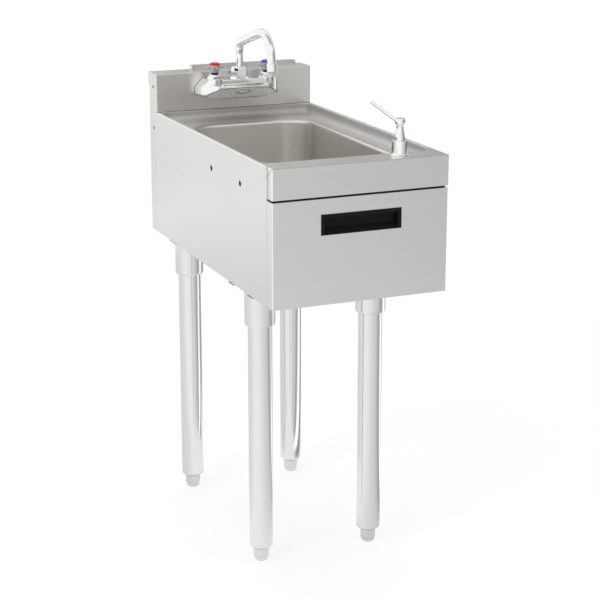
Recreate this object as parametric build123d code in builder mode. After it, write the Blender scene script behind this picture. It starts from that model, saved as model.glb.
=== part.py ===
"""Hand wash sink on four legs, with a towel drawer, a two-handle faucet and a soap pump.

Millimetres. The origin is on the floor, midway between the sides and midway between front and back.
X points to the right of someone who stands at the sink, Y points to its back and Z points up.
"""

import os
from math import atan, cos, degrees, radians, sin

from build123d import *

os.makedirs("parts", exist_ok=True)

# Cabinet and top
overall_width = 304.8
overall_depth = 609.6
rim_height = 732.0
sheet = 1.2
box_height = 226.0
ledge_depth = 48.0
rim_width = 6.0
pan_drop = 19.0
pan_corner = 20.0
pan_cove = 11.0
pan_roll = 2.0
pan_back_setback = 1.0
edge_round = 1.0
apron_height = 50.1
slit_height = 3.6
return_depth = 22.0
hem_depth = 6.0
seam_gap = 0.5
panel_flange = 20.0
panel_flange_raise = 4.0
side_hole_diameter = 8.0
side_hole_drop = 49.0
side_hole_front = 138.0
side_hole_rear = 273.0

# Backsplash
splash_rise = 70.0
splash_depth = 47.1
splash_foot = 10.5
splash_lip = 12.0
splash_notch = 25.0
strip_setback = 5.0
strip_return = 15.0
strip_hole_diameter = 5.0
strip_hole_inset = 22.0
strip_hole_rise = 45.0
strip_hole_drop = 31.0
bracket_left_inset = 81.0
bracket_right_inset = 15.8
bracket_rise = 7.5
bracket_foot = 14.0
bracket_sheet = 1.5
bracket_tab = 3.0

# Bowl
bowl_side_margin = 40.0
bowl_front_margin = 90.0
bowl_back_margin = 61.5
bowl_corner = 50.0
bowl_depth = 125.0
bowl_draw_in = 8.0
bowl_bottom_round = 25.0
bowl_roll = 5.0
bowl_flange = 12.0
dish_depth = 4.0
dish_radius = 40.0
dish_flare = 12.0

# Drain
drain_flange_radius = 38.0
drain_flange_height = 2.0
drain_edge = 1.2
drain_hole_gap = 1.0
drain_tube_radius = 25.0
drain_wall = 3.0
drain_length = 44.0
grid_drop = 24.0
grid_height = 3.0
grid_hole_radius = 4.5
grid_ring_radius = 13.0
gasket_height = 3.0
locknut_flats = 72.0
locknut_height = 10.0
tail_radius = 19.05
tail_wall = 1.5
tail_flange_height = 2.0
tail_drop = 84.0
slip_nut_flats = 62.0
slip_nut_grip = 12.0
slip_nut_lip = 5.0
slip_gap = 0.1
tail_groove_drop = 7.0
tail_groove_width = 2.0
tail_groove_depth = 0.3

# Lift-out basket
basket_rest_gap = 0.3
basket_sheet = 1.2
basket_flange_radius = 30.0
basket_cup_radius = 21.0
basket_cup_drop = 17.0
basket_hole_radius = 2.6
basket_ring_radius = 13.0
basket_hole_count = 6
basket_post_radius = 2.5
basket_post_rise = 10.0
basket_knob_radius = 6.0

# Legs and feet
leg_radius = 20.65
leg_wall = 1.5
leg_side_inset = 49.8
leg_front_inset = 181.0
leg_rear_inset = 68.6
socket_radius = 26.0
socket_reach = 78.0
socket_round = 4.0
socket_cap = 4.0
socket_gap = 0.15
channel_sheet = 2.0
rib_width = 22.0
front_rib_inset = 15.0
front_rib_drop = 15.0
front_channel_half = 55.0
rear_rib_inset = 3.0
rear_rib_drop = 4.5
rear_rib_width = 37.0
rear_channel_ahead = 64.0
rear_channel_behind = 55.0
set_screw_radius = 3.0
set_screw_rise = 20.0
set_screw_proud = 1.5
set_screw_gap = 0.05
set_screw_key = 1.5
foot_rest_gap = 0.3
foot_hex_flats = 25.0
foot_hex_height = 14.7
foot_base_height = 9.0
foot_base_radius = 12.0
foot_sole_radius = 9.0
foot_bevel = 2.5
insert_cone_height = 5.0
insert_cone_radius = 15.0
insert_plug_height = 30.0
insert_gap = 0.1
stem_radius = 6.0
stem_gap = 0.05
stem_length = 48.0

# Drawer
front_setback = 1.0
front_inset = 0.4
drawer_lip = 6.0
drawer_foot = 20.0
pull_side_margin = 82.7
pull_height = 33.5
pull_drop = 78.7
pull_side_band = 6.0
pull_top_band = 7.3
pull_bottom_band = 1.7
pull_proud = 0.8
pull_depth = 11.5
pull_wall = 1.5
pull_slope = 8.0
pull_flange = 3.0
pull_gap = 0.3
tray_side_room = 13.7
tray_length = 232.0
tray_height = 55.0
tray_lift = 10.0
tray_hem = 5.0
rail_length = 220.0
rail_start = 26.0
rail_height = 40.0
rail_depth = 10.0
rail_lift = 7.0
runner_gap = 0.3
runner_web_gap = 0.5
runner_length = 200.0
fastener_radius = 2.0
fastener_head_radius = 4.0
fastener_head_height = 1.5
rivet_inset = 30.0
drawer_screw_inset = 47.5
drawer_screw_rise = 15.0
drawer_screw_spacing = 25.0

# Faucet
valve_spread = 101.6
valve_ahead = 32.7
spout_ahead = 26.0
hull_depth = 53.7
hull_ledge = 9.0
hull_shoulder_half = 48.0
hull_shoulder_back = 3.0
hull_side_half = 70.0
hull_side_back = 18.0
hull_wall_half = 80.0
hull_crown_half = 64.0
hull_slope_half = 79.0
keel_ahead = 26.0
keel_rise = 20.5
keel_half = 53.0
keel_corner_rise = 23.0
keel_tip_half = 65.0
keel_tip_rise = 28.5
hull_wall_rise = 31.5
brow_rise = 45.0
brow_height = 1.5
ledge_rise = 51.0
hull_slope_rise = 44.0
hull_top_rise = 59.5
hull_round = 1.2
hub_radius = 15.0
hub_top = 61.5
dome_radius = 20.0
boss_radius = 15.0
boss_top = 62.5
boss_bore = 5.0
badge_width = 29.0
badge_height = 19.0
badge_proud = 0.6
badge_rim = 1.3
badge_rim_proud = 0.5
badge_drop = 12.0
shank_rise = 42.0
shank_radius = 10.3
shank_bore = 6.0
shank_length = 40.0
shank_hole_gap = 1.2
shank_groove_gap = 1.0
shank_groove_width = 2.0
shank_groove_depth = 0.5
wall_gasket_height = 1.5
wall_gasket_inset = 1.5
shank_nut_flats = 32.0
shank_nut_height = 8.0
valve_bore_radius = 8.0
valve_bore_depth = 22.0
bonnet_flats = 25.0
bonnet_hex_height = 4.5
bonnet_radius = 11.0
bonnet_height = 3.5
bonnet_round = 2.5
collar_radius = 6.6
collar_height = 3.0
valve_stem_radius = 4.0
valve_disc_radius = 7.5
valve_disc_height = 6.0
valve_disc_drop = 12.0
valve_stem_grip = 7.0
running_gap = 0.05
handle_gap = 0.4
handle_height = 13.8
handle_low_radius = 7.4
handle_top_radius = 11.0
handle_round = 0.8
flute_radius = 2.2
flute_count = 8
flute_depth_share = 0.45
arm_count = 4
arm_reach = 16.5
arm_radius = 2.8
arm_drop = 4.6
index_radius = 9.9
index_height = 2.0
index_seat = 0.6
nut_flats = 28.0
nut_height = 18.0
nut_chamfer = 1.6
nut_cavity = 10.0
nut_cavity_height = 10.0
spout_riser_radius = 6.7
spout_radius = 7.8
spout_bore = 5.2
spout_swell = 8.0
spout_swell_start = 24.0
spout_corner_rise = 124.2
spout_slope = 15.5
spout_run = 154.0
spout_lean = 9.9
spout_fall = 69.0
spout_first_bend = 12.0
spout_second_bend = 45.0
spout_collar_radius = 9.6
spout_collar_height = 5.0
spout_lift = 0.4
aerator_radius = 9.4
aerator_length = 15.0
aerator_grip = 8.0
aerator_lip = 1.2
aerator_grid_height = 1.0
aerator_chamfer = 0.8

# Soap pump
pump_side_inset = 73.3
pump_front_inset = 29.5
base_flange_radius = 15.0
base_flange_height = 1.5
base_radius = 13.0
base_flare = 5.0
base_height = 23.0
base_well_radius = 8.7
base_floor_low = 2.0
base_floor_high = 5.0
base_shank_radius = 11.0
base_shank_bore = 9.0
base_shank_length = 45.0
ledge_hole_gap = 0.2
soap_nut_radius = 13.5
soap_nut_height = 7.0
head_radius = 8.3
head_skirt_radius = 6.6
head_dip = 3.0
head_shoulder = 30.0
head_neck_radius = 5.8
head_neck = 43.0
head_ball_radius = 8.0
head_ball = 51.0
head_top = 59.0
head_cap_radius = 7.2
head_ceiling = 32.0
head_socket = 40.0
nozzle_radius = 2.5
nozzle_bore = 1.5
nozzle_root = 4.0
nozzle_reach = 106.2
nozzle_height = 50.4
nozzle_slope = 9.95
nozzle_round = 0.4
rod_radius = 3.0
piston_radius = 6.0
piston_high = 20.0
piston_height = 6.0
cylinder_radius = 8.8
cylinder_low = 42.0
inlet_radius = 5.0
inlet_bore = 3.0
inlet_length = 18.0
tube_bore = 2.0
tube_grip = 8.0
tube_low = 134.0
spring_radius = 5.0
spring_wire = 0.5
spring_turn_height = 4.5
bottle_radius = 20.0
bottle_neck_radius = 13.0
bottle_wall = 1.5
bottle_neck_high = 24.0
bottle_neck_low = 40.0
bottle_shoulder = 48.0
bottle_bottom = 140.0
bottle_bore_gap = 0.1

overrun = 1.0

# Places worked out from the sizes above
half_width = overall_width / 2
inner_half = half_width - sheet
front_y = -overall_depth / 2
back_y = overall_depth / 2
rim_z = rim_height
box_low_z = rim_z - box_height
pan_z = rim_z - pan_drop
splash_y = back_y - splash_depth
splash_top_z = rim_z + splash_rise
seam_y = splash_y + splash_foot
strip_back_y = back_y - strip_setback
apron_low_z = rim_z - apron_height
return_back_y = front_y + return_depth
close = sheet / 100


def block(x_low, x_high, y_low, y_high, z_low, z_high, mode=Mode.ADD):
    """Box between two corners, given in any order along X."""
    x_from, x_to = min(x_low, x_high), max(x_low, x_high)
    with Locations(((x_from + x_to) / 2, (y_low + y_high) / 2, (z_low + z_high) / 2)):
        Box(x_to - x_from, y_high - y_low, z_high - z_low, mode=mode)


def post(x, y, z_low, z_high, radius, mode=Mode.ADD):
    """Upright cylinder between two heights."""
    with Locations((x, y, (z_low + z_high) / 2)):
        Cylinder(radius, z_high - z_low, mode=mode)


def well(width, length, corner, bottom_round, y, top_z, bottom_z, draw_in=0):
    """Solid form of a pressed well, rounded in plan and along its bottom edge."""
    top_plane = Plane((0, y, top_z), x_dir=(1, 0, 0), z_dir=(0, 0, -1))
    with BuildPart() as form:
        with BuildSketch(top_plane):
            RectangleRounded(width, length, corner)
        extrude(amount=top_z - bottom_z, taper=degrees(atan(draw_in / (top_z - bottom_z))))
        fillet(form.edges().group_by(Axis.Z)[0], bottom_round)
    return form.part


def loop_at(part, z, width, length, y):
    """Edges at height z that lie within a rectangle around the place y on the centre line."""
    return part.edges().filter_by(
        lambda edge: abs(edge.bounding_box().min.Z - z) < close
        and abs(edge.bounding_box().max.Z - z) < close
        and max(abs(edge.bounding_box().min.X), abs(edge.bounding_box().max.X)) < width / 2 + close
        and max(abs(edge.bounding_box().min.Y - y), abs(edge.bounding_box().max.Y - y)) < length / 2 + close
    )


def upright_plane(x, y):
    """Plane through an upright axis: its own X is the distance from the axis, its own Y is height."""
    return Plane((x, y, 0), x_dir=(1, 0, 0), z_dir=(0, -1, 0))


def upright_axis(x, y):
    """Upright axis through a point in plan."""
    return Axis((x, y, 0), (0, 0, 1))


# Top: ledge, rims, recessed deck and front apron
pan_width = overall_width - 2 * rim_width
pan_front_y = front_y + ledge_depth
pan_back_y = splash_y - pan_back_setback
pan_length = pan_back_y - pan_front_y
pan_y = (pan_front_y + pan_back_y) / 2
bowl_width = overall_width - 2 * bowl_side_margin
bowl_front_y = front_y + bowl_front_margin
bowl_back_y = splash_y - bowl_back_margin
bowl_length = bowl_back_y - bowl_front_y
bowl_y = (bowl_front_y + bowl_back_y) / 2
pump_x = half_width - pump_side_inset
pump_y = front_y + pump_front_inset

with BuildPart() as sink_top:
    block(-half_width, half_width, front_y, seam_y, rim_z - sheet, rim_z)
    add(
        well(
            pan_width + 2 * sheet,
            pan_length + 2 * sheet,
            pan_corner + sheet,
            pan_cove + sheet,
            pan_y,
            rim_z - sheet,
            pan_z - sheet,
        )
    )
    fillet(
        loop_at(sink_top, rim_z - sheet, pan_width + 2 * sheet, pan_length + 2 * sheet, pan_y),
        pan_roll + sheet,
    )
    add(well(pan_width, pan_length, pan_corner, pan_cove, pan_y, rim_z, pan_z), mode=Mode.SUBTRACT)
    fillet(loop_at(sink_top, rim_z, pan_width, pan_length, pan_y), pan_roll)
    with BuildSketch(Plane((0, bowl_y, pan_z - sheet - overrun))):
        RectangleRounded(bowl_width + 2 * bowl_flange, bowl_length + 2 * bowl_flange, bowl_corner + bowl_flange)
    extrude(amount=sheet + 2 * overrun, mode=Mode.SUBTRACT)
    block(-half_width, half_width, front_y, front_y + sheet, apron_low_z, rim_z - sheet)
    block(-inner_half, inner_half, front_y + sheet, front_y + hem_depth, apron_low_z, apron_low_z + sheet)
    for side in (-1, 1):
        block(side * half_width, side * inner_half, front_y, return_back_y, apron_low_z, rim_z - sheet)
    fillet(
        sink_top.edges().filter_by(
            lambda edge: edge.bounding_box().max.Y < front_y + close
            and (
                edge.bounding_box().min.Z > rim_z - close
                or (
                    abs(edge.center().X) > half_width - close
                    and edge.bounding_box().max.Z - edge.bounding_box().min.Z > apron_height / 2
                )
            )
        ),
        edge_round,
    )
    post(pump_x, pump_y, rim_z - sheet - overrun, rim_z + overrun, base_shank_radius + ledge_hole_gap, Mode.SUBTRACT)
sink_top.part.label = "sink_top"
export_step(sink_top.part, "parts/sink_top.step")

# Bowl, pressed in one piece and let into the deck
bowl_floor_z = pan_z - bowl_depth
dish_z = bowl_floor_z - dish_depth
drain_y = bowl_y

with BuildPart() as sink_bowl:
    add(
        well(
            bowl_width + 2 * sheet,
            bowl_length + 2 * sheet,
            bowl_corner + sheet,
            bowl_bottom_round + sheet,
            bowl_y,
            pan_z - sheet,
            bowl_floor_z - sheet,
            bowl_draw_in,
        )
    )
    with BuildSketch(Plane((0, bowl_y, pan_z - sheet))):
        RectangleRounded(bowl_width + 2 * bowl_flange, bowl_length + 2 * bowl_flange, bowl_corner + bowl_flange)
    extrude(amount=sheet)
    fillet(
        loop_at(sink_bowl, pan_z - sheet, bowl_width + 2 * sheet, bowl_length + 2 * sheet, bowl_y),
        bowl_roll + sheet,
    )
    with Locations((0, drain_y, dish_z - sheet + dish_depth / 2)):
        Cone(dish_radius + sheet, dish_radius + dish_flare + sheet, dish_depth)
    add(
        well(
            bowl_width, bowl_length, bowl_corner, bowl_bottom_round, bowl_y, pan_z, bowl_floor_z, bowl_draw_in
        ),
        mode=Mode.SUBTRACT,
    )
    with Locations((0, drain_y, dish_z + dish_depth / 2)):
        Cone(dish_radius, dish_radius + dish_flare, dish_depth, mode=Mode.SUBTRACT)
    post(0, drain_y, dish_z - sheet - overrun, dish_z + overrun, drain_tube_radius + drain_hole_gap, Mode.SUBTRACT)
    fillet(loop_at(sink_bowl, pan_z, bowl_width, bowl_length, bowl_y), bowl_roll)
sink_bowl.part.label = "sink_bowl"
export_step(sink_bowl.part, "parts/sink_bowl.step")

# Side panels, each with an inward flange near its lower edge
flange_z = box_low_z + panel_flange_raise
panel_front_y = return_back_y

for name, side in (("left", -1), ("right", 1)):
    with BuildPart() as side_panel:
        block(side * half_width, side * inner_half, panel_front_y + seam_gap, seam_y, box_low_z, apron_low_z)
        block(side * half_width, side * inner_half, panel_front_y, seam_y, apron_low_z, rim_z - sheet)
        block(
            side * inner_half,
            side * (inner_half - panel_flange),
            panel_front_y + seam_gap,
            seam_y,
            flange_z,
            flange_z + sheet,
        )
        for hole_back in (side_hole_front, side_hole_rear):
            with Locations(Plane((side * half_width, front_y + hole_back, rim_z - side_hole_drop), z_dir=(1, 0, 0))):
                Cylinder(side_hole_diameter / 2, 2 * sheet + 2 * overrun, mode=Mode.SUBTRACT)
    side_panel.part.label = f"{name}_side_panel"
    export_step(side_panel.part, f"parts/{name}_side_panel.step")

# Backsplash: face, top, rear lip, ends and the strips that run down behind the side panels
shank_z = rim_z + shank_rise
valve_half = valve_spread / 2

with BuildPart() as backsplash:
    with BuildSketch(Plane.YZ.offset(-half_width)):
        with BuildLine():
            Polyline(
                (splash_y, rim_z),
                (splash_y, splash_top_z),
                (back_y, splash_top_z),
                (back_y, splash_top_z - splash_lip),
                (back_y - sheet, splash_top_z - splash_lip),
                (back_y - sheet, splash_top_z - sheet),
                (splash_y + sheet, splash_top_z - sheet),
                (splash_y + sheet, rim_z + sheet),
                (seam_y, rim_z + sheet),
                (seam_y, rim_z),
                close=True,
            )
        make_face()
    extrude(amount=overall_width)
    for side in (-1, 1):
        end_x = -half_width if side < 0 else inner_half
        with BuildSketch(Plane.YZ.offset(end_x)):
            with BuildLine():
                Polyline(
                    (splash_y, rim_z),
                    (splash_y, splash_top_z),
                    (back_y, splash_top_z),
                    (back_y, splash_top_z - splash_notch),
                    (strip_back_y, splash_top_z - splash_notch),
                    (strip_back_y, box_low_z),
                    (seam_y, box_low_z),
                    (seam_y, rim_z),
                    close=True,
                )
            make_face()
        extrude(amount=sheet)
        block(
            side * inner_half,
            side * (inner_half - strip_return),
            strip_back_y - sheet,
            strip_back_y,
            box_low_z,
            splash_top_z - splash_notch,
        )
        for hole_z in (rim_z + strip_hole_rise, rim_z - strip_hole_drop):
            with Locations(Plane((side * half_width, strip_back_y - strip_hole_inset, hole_z), z_dir=(1, 0, 0))):
                Cylinder(strip_hole_diameter / 2, 2 * sheet + 2 * overrun, mode=Mode.SUBTRACT)
        with Locations(Plane((side * valve_half, splash_y, shank_z), z_dir=(0, 1, 0))):
            Cylinder(shank_radius + shank_hole_gap, 2 * sheet + 2 * overrun, mode=Mode.SUBTRACT)
    fillet(
        backsplash.edges().filter_by(
            lambda edge: edge.bounding_box().min.Z > splash_top_z - close
            and edge.bounding_box().max.Y < splash_y + close
        ),
        edge_round,
    )
backsplash.part.label = "backsplash"
export_step(backsplash.part, "parts/backsplash.step")

# Low angle along the back of the splash top
bracket_left_x = -half_width + bracket_left_inset
bracket_right_x = half_width - bracket_right_inset

with BuildPart() as rear_lip_bracket:
    block(bracket_left_x, bracket_right_x, back_y - bracket_foot, back_y, splash_top_z, splash_top_z + bracket_sheet)
    block(bracket_left_x, bracket_right_x, back_y - bracket_sheet, back_y, splash_top_z, splash_top_z + bracket_rise)
    for x_from, x_to in (
        (bracket_left_x, bracket_left_x + bracket_tab),
        (bracket_right_x - bracket_tab, bracket_right_x),
    ):
        block(x_from, x_to, back_y - bracket_foot, back_y, splash_top_z, splash_top_z + bracket_rise)
rear_lip_bracket.part.label = "rear_lip_bracket"
export_step(rear_lip_bracket.part, "parts/rear_lip_bracket.step")

# Cross channels under the box, which carry the leg sockets
leg_x = half_width - leg_side_inset
leg_front_y = front_y + leg_front_inset
leg_rear_y = back_y - leg_rear_inset
web_low_z = flange_z - channel_sheet


def rib(half_length, y_low, y_high, z_low):
    """Folded rib under a channel's web, open towards the web."""
    block(-half_length, half_length, y_low, y_high, z_low, web_low_z)
    block(
        -half_length - overrun,
        half_length + overrun,
        y_low + channel_sheet,
        y_high - channel_sheet,
        z_low + channel_sheet,
        web_low_z,
        Mode.SUBTRACT,
    )


with BuildPart() as front_cross_channel:
    rib_half = half_width - front_rib_inset
    rib_low_z = box_low_z - front_rib_drop
    rib(rib_half, leg_front_y - front_channel_half, leg_front_y - front_channel_half + rib_width, rib_low_z)
    rib(rib_half, leg_front_y + front_channel_half - rib_width, leg_front_y + front_channel_half, rib_low_z)
    block(
        -inner_half,
        inner_half,
        leg_front_y - front_channel_half,
        leg_front_y + front_channel_half,
        web_low_z,
        flange_z,
    )
front_cross_channel.part.label = "front_cross_channel"
export_step(front_cross_channel.part, "parts/front_cross_channel.step")

with BuildPart() as rear_cross_channel:
    rear_web_y = leg_rear_y - rear_channel_ahead
    rib(half_width - rear_rib_inset, rear_web_y, rear_web_y + rear_rib_width, box_low_z - rear_rib_drop)
    block(-inner_half, inner_half, rear_web_y, leg_rear_y + rear_channel_behind, web_low_z, flange_z)
    for side in (-1, 1):
        block(
            side * half_width,
            side * inner_half,
            rear_web_y - overrun,
            leg_rear_y + rear_channel_behind,
            box_low_z,
            flange_z + overrun,
            Mode.SUBTRACT,
        )
rear_cross_channel.part.label = "rear_cross_channel"
export_step(rear_cross_channel.part, "parts/rear_cross_channel.step")

# Legs: socket, tube and adjustable foot at each corner
socket_low_z = box_low_z - socket_reach
socket_bore = leg_radius + socket_gap
tube_top_z = web_low_z - socket_cap
insert_low_z = foot_base_height + foot_hex_height + foot_rest_gap
tube_low_z = insert_low_z + insert_cone_height
screw_z = socket_low_z + set_screw_rise
leg_places = {
    "front_left": (-leg_x, leg_front_y),
    "front_right": (leg_x, leg_front_y),
    "rear_left": (-leg_x, leg_rear_y),
    "rear_right": (leg_x, leg_rear_y),
}

for corner, (x, y) in leg_places.items():
    with BuildPart() as leg_socket:
        post(x, y, socket_low_z, web_low_z, socket_radius)
        fillet(leg_socket.edges().group_by(Axis.Z)[0], socket_round)
        post(x, y, socket_low_z - overrun, tube_top_z, socket_bore, Mode.SUBTRACT)
        with Locations(Plane((x, y + socket_radius / 2, screw_z), z_dir=(0, 1, 0))):
            Cylinder(set_screw_radius + set_screw_gap, socket_radius + 2 * overrun, mode=Mode.SUBTRACT)
    leg_socket.part.label = f"leg_socket_{corner}"
    export_step(leg_socket.part, f"parts/leg_socket_{corner}.step")

    with BuildPart() as leg_tube:
        post(x, y, tube_low_z, tube_top_z, leg_radius)
        post(x, y, tube_low_z - overrun, tube_top_z + overrun, leg_radius - leg_wall, Mode.SUBTRACT)
    leg_tube.part.label = f"leg_tube_{corner}"
    export_step(leg_tube.part, f"parts/leg_tube_{corner}.step")

    with BuildPart() as foot:
        with BuildSketch(upright_plane(x, y)):
            with BuildLine():
                Polyline(
                    (0, 0),
                    (foot_sole_radius, 0),
                    (foot_base_radius - foot_bevel / 4, foot_bevel),
                    (foot_base_radius, foot_base_height),
                    (0, foot_base_height),
                    close=True,
                )
            make_face()
        revolve(axis=upright_axis(x, y))
        with BuildSketch(Plane((x, y, foot_base_height))):
            RegularPolygon(foot_hex_flats / 2, 6, major_radius=False)
        extrude(amount=foot_hex_height)
        post(x, y, foot_base_height, foot_base_height + foot_hex_height + stem_length, stem_radius)
    foot.part.label = f"foot_{corner}"
    export_step(foot.part, f"parts/foot_{corner}.step")

screw_length = socket_radius - leg_radius + set_screw_proud

with BuildPart() as socket_set_screws:
    for x, y in leg_places.values():
        with Locations(Plane((x, y + leg_radius + screw_length / 2, screw_z), z_dir=(0, 1, 0))):
            Cylinder(set_screw_radius, screw_length)
        with BuildSketch(Plane((x, y + leg_radius + screw_length, screw_z), z_dir=(0, -1, 0))):
            RegularPolygon(set_screw_key, 6)
        extrude(amount=screw_length / 2, mode=Mode.SUBTRACT)
socket_set_screws.part.label = "socket_set_screws"
export_step(socket_set_screws.part, "parts/socket_set_screws.step")

plug_radius = leg_radius - leg_wall - insert_gap

with BuildPart() as foot_inserts:
    for x, y in leg_places.values():
        with BuildSketch(upright_plane(x, y)):
            with BuildLine():
                Polyline(
                    (stem_radius + stem_gap, insert_low_z),
                    (insert_cone_radius, insert_low_z),
                    (leg_radius, tube_low_z),
                    (plug_radius, tube_low_z),
                    (plug_radius, tube_low_z + insert_plug_height),
                    (stem_radius + stem_gap, tube_low_z + insert_plug_height),
                    close=True,
                )
            make_face()
        revolve(axis=upright_axis(x, y))
foot_inserts.part.label = "foot_inserts"
export_step(foot_inserts.part, "parts/foot_inserts.step")

# Drain: flanged body in the bowl, gasket, lock nut, tailpiece and its nut
drain_bore = drain_tube_radius - drain_wall
drain_low_z = dish_z - drain_length
drain_top_z = dish_z + drain_flange_height
under_bowl_z = dish_z - sheet
gasket_low_z = under_bowl_z - gasket_height
tail_low_z = box_low_z - tail_drop
slip_seat_z = drain_low_z - tail_flange_height
tail_groove_z = slip_seat_z - tail_groove_drop - tail_groove_width

with BuildPart() as drain_body:
    with BuildSketch(upright_plane(0, drain_y)):
        with BuildLine():
            Polyline(
                (drain_bore, drain_top_z),
                (drain_flange_radius - drain_edge, drain_top_z),
                (drain_flange_radius, drain_top_z - drain_edge),
                (drain_flange_radius, dish_z),
                (drain_tube_radius, dish_z),
                (drain_tube_radius, drain_low_z),
                (drain_bore, drain_low_z),
                close=True,
            )
        make_face()
    revolve(axis=upright_axis(0, drain_y))
    post(0, drain_y, dish_z - grid_drop - grid_height, dish_z - grid_drop, drain_bore + drain_wall / 2)
    with Locations((0, drain_y, dish_z - grid_drop - grid_height / 2)):
        with PolarLocations(grid_ring_radius, 6):
            Cylinder(grid_hole_radius, grid_height + 2 * overrun, mode=Mode.SUBTRACT)
        Cylinder(grid_hole_radius, grid_height + 2 * overrun, mode=Mode.SUBTRACT)
drain_body.part.label = "drain_body"
export_step(drain_body.part, "parts/drain_body.step")

with BuildPart() as drain_gasket:
    post(0, drain_y, gasket_low_z, under_bowl_z, drain_flange_radius)
    post(0, drain_y, gasket_low_z - overrun, under_bowl_z + overrun, drain_tube_radius, Mode.SUBTRACT)
drain_gasket.part.label = "drain_gasket"
export_step(drain_gasket.part, "parts/drain_gasket.step")

with BuildPart() as drain_locknut:
    with BuildSketch(Plane((0, drain_y, gasket_low_z - locknut_height))):
        RegularPolygon(locknut_flats / 2, 6, major_radius=False)
        Circle(drain_tube_radius, mode=Mode.SUBTRACT)
    extrude(amount=locknut_height)
drain_locknut.part.label = "drain_locknut"
export_step(drain_locknut.part, "parts/drain_locknut.step")

with BuildPart() as drain_tailpiece:
    with BuildSketch(upright_plane(0, drain_y)):
        with BuildLine():
            Polyline(
                (tail_radius - tail_wall, drain_low_z),
                (drain_tube_radius - slip_gap, drain_low_z),
                (drain_tube_radius - slip_gap, drain_low_z - tail_flange_height),
                (tail_radius, drain_low_z - tail_flange_height),
                (tail_radius, tail_groove_z + tail_groove_width),
                (tail_radius - tail_groove_depth, tail_groove_z + tail_groove_width),
                (tail_radius - tail_groove_depth, tail_groove_z),
                (tail_radius, tail_groove_z),
                (tail_radius, tail_low_z),
                (tail_radius - tail_wall, tail_low_z),
                close=True,
            )
        make_face()
    revolve(axis=upright_axis(0, drain_y))
drain_tailpiece.part.label = "drain_tailpiece"
export_step(drain_tailpiece.part, "parts/drain_tailpiece.step")

with BuildPart() as tailpiece_nut:
    with BuildSketch(Plane((0, drain_y, slip_seat_z - slip_nut_lip))):
        RegularPolygon(slip_nut_flats / 2, 6, major_radius=False)
        Circle(tail_radius + slip_gap, mode=Mode.SUBTRACT)
    extrude(amount=slip_nut_lip + tail_flange_height + slip_nut_grip)
    post(0, drain_y, slip_seat_z, drain_low_z + slip_nut_grip + overrun, drain_tube_radius, Mode.SUBTRACT)
tailpiece_nut.part.label = "tailpiece_nut"
export_step(tailpiece_nut.part, "parts/tailpiece_nut.step")

# Basket that lifts out of the drain
basket_seat_z = drain_top_z + basket_rest_gap
cup_low_z = dish_z - basket_cup_drop
knob_z = dish_z + basket_post_rise

with BuildPart() as drain_basket:
    with BuildSketch(upright_plane(0, drain_y)):
        with BuildLine():
            Polyline(
                (0, cup_low_z),
                (basket_cup_radius, cup_low_z),
                (basket_cup_radius, basket_seat_z),
                (basket_flange_radius, basket_seat_z),
                (basket_flange_radius, basket_seat_z + basket_sheet),
                (basket_cup_radius - basket_sheet, basket_seat_z + basket_sheet),
                (basket_cup_radius - basket_sheet, cup_low_z + basket_sheet),
                (0, cup_low_z + basket_sheet),
                close=True,
            )
        make_face()
    revolve(axis=upright_axis(0, drain_y))
    with Locations((0, drain_y, cup_low_z + basket_sheet / 2)):
        with PolarLocations(basket_ring_radius, basket_hole_count):
            Cylinder(basket_hole_radius, 2 * basket_sheet, mode=Mode.SUBTRACT)
    post(0, drain_y, cup_low_z, knob_z, basket_post_radius)
    with Locations((0, drain_y, knob_z)):
        Sphere(basket_knob_radius)
drain_basket.part.label = "drain_basket"
export_step(drain_basket.part, "parts/drain_basket.step")

# Towel drawer: front, finger pull, tray, runners and the fixed rails
drawer_top_z = apron_low_z - slit_height
face_y = front_y + front_setback
face_back_y = face_y + sheet
face_half = half_width - front_inset
pull_width = overall_width - 2 * pull_side_margin
pull_top_z = rim_z - pull_drop
pull_low_z = pull_top_z - pull_height
pull_z = (pull_top_z + pull_low_z) / 2
cutout_half = pull_width / 2 - pull_flange
cutout_top_z = pull_top_z - pull_flange
cutout_low_z = pull_low_z + pull_flange / 2

with BuildPart() as drawer_front:
    block(-face_half, face_half, face_y, face_back_y, box_low_z, drawer_top_z)
    block(-face_half, face_half, face_y, face_y + drawer_lip, drawer_top_z - sheet, drawer_top_z)
    block(-face_half, face_half, face_y, face_y + drawer_foot, box_low_z, box_low_z + sheet)
    for side in (-1, 1):
        block(side * face_half, side * (face_half - sheet), face_y, return_back_y, box_low_z, drawer_top_z)
    fillet(
        drawer_front.edges().filter_by(
            lambda edge: edge.bounding_box().max.Y < face_y + close
        ),
        edge_round,
    )
    block(-cutout_half, cutout_half, front_y - overrun, face_back_y + overrun, cutout_low_z, cutout_top_z, Mode.SUBTRACT)
drawer_front.part.label = "drawer_front"
export_step(drawer_front.part, "parts/drawer_front.step")

pull_front_y = face_y - pull_proud
pull_back_y = face_y + pull_depth
hollow_half = pull_width / 2 - pull_side_band
hollow_top_z = pull_top_z - pull_top_band
hollow_low_z = pull_low_z + pull_bottom_band

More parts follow.
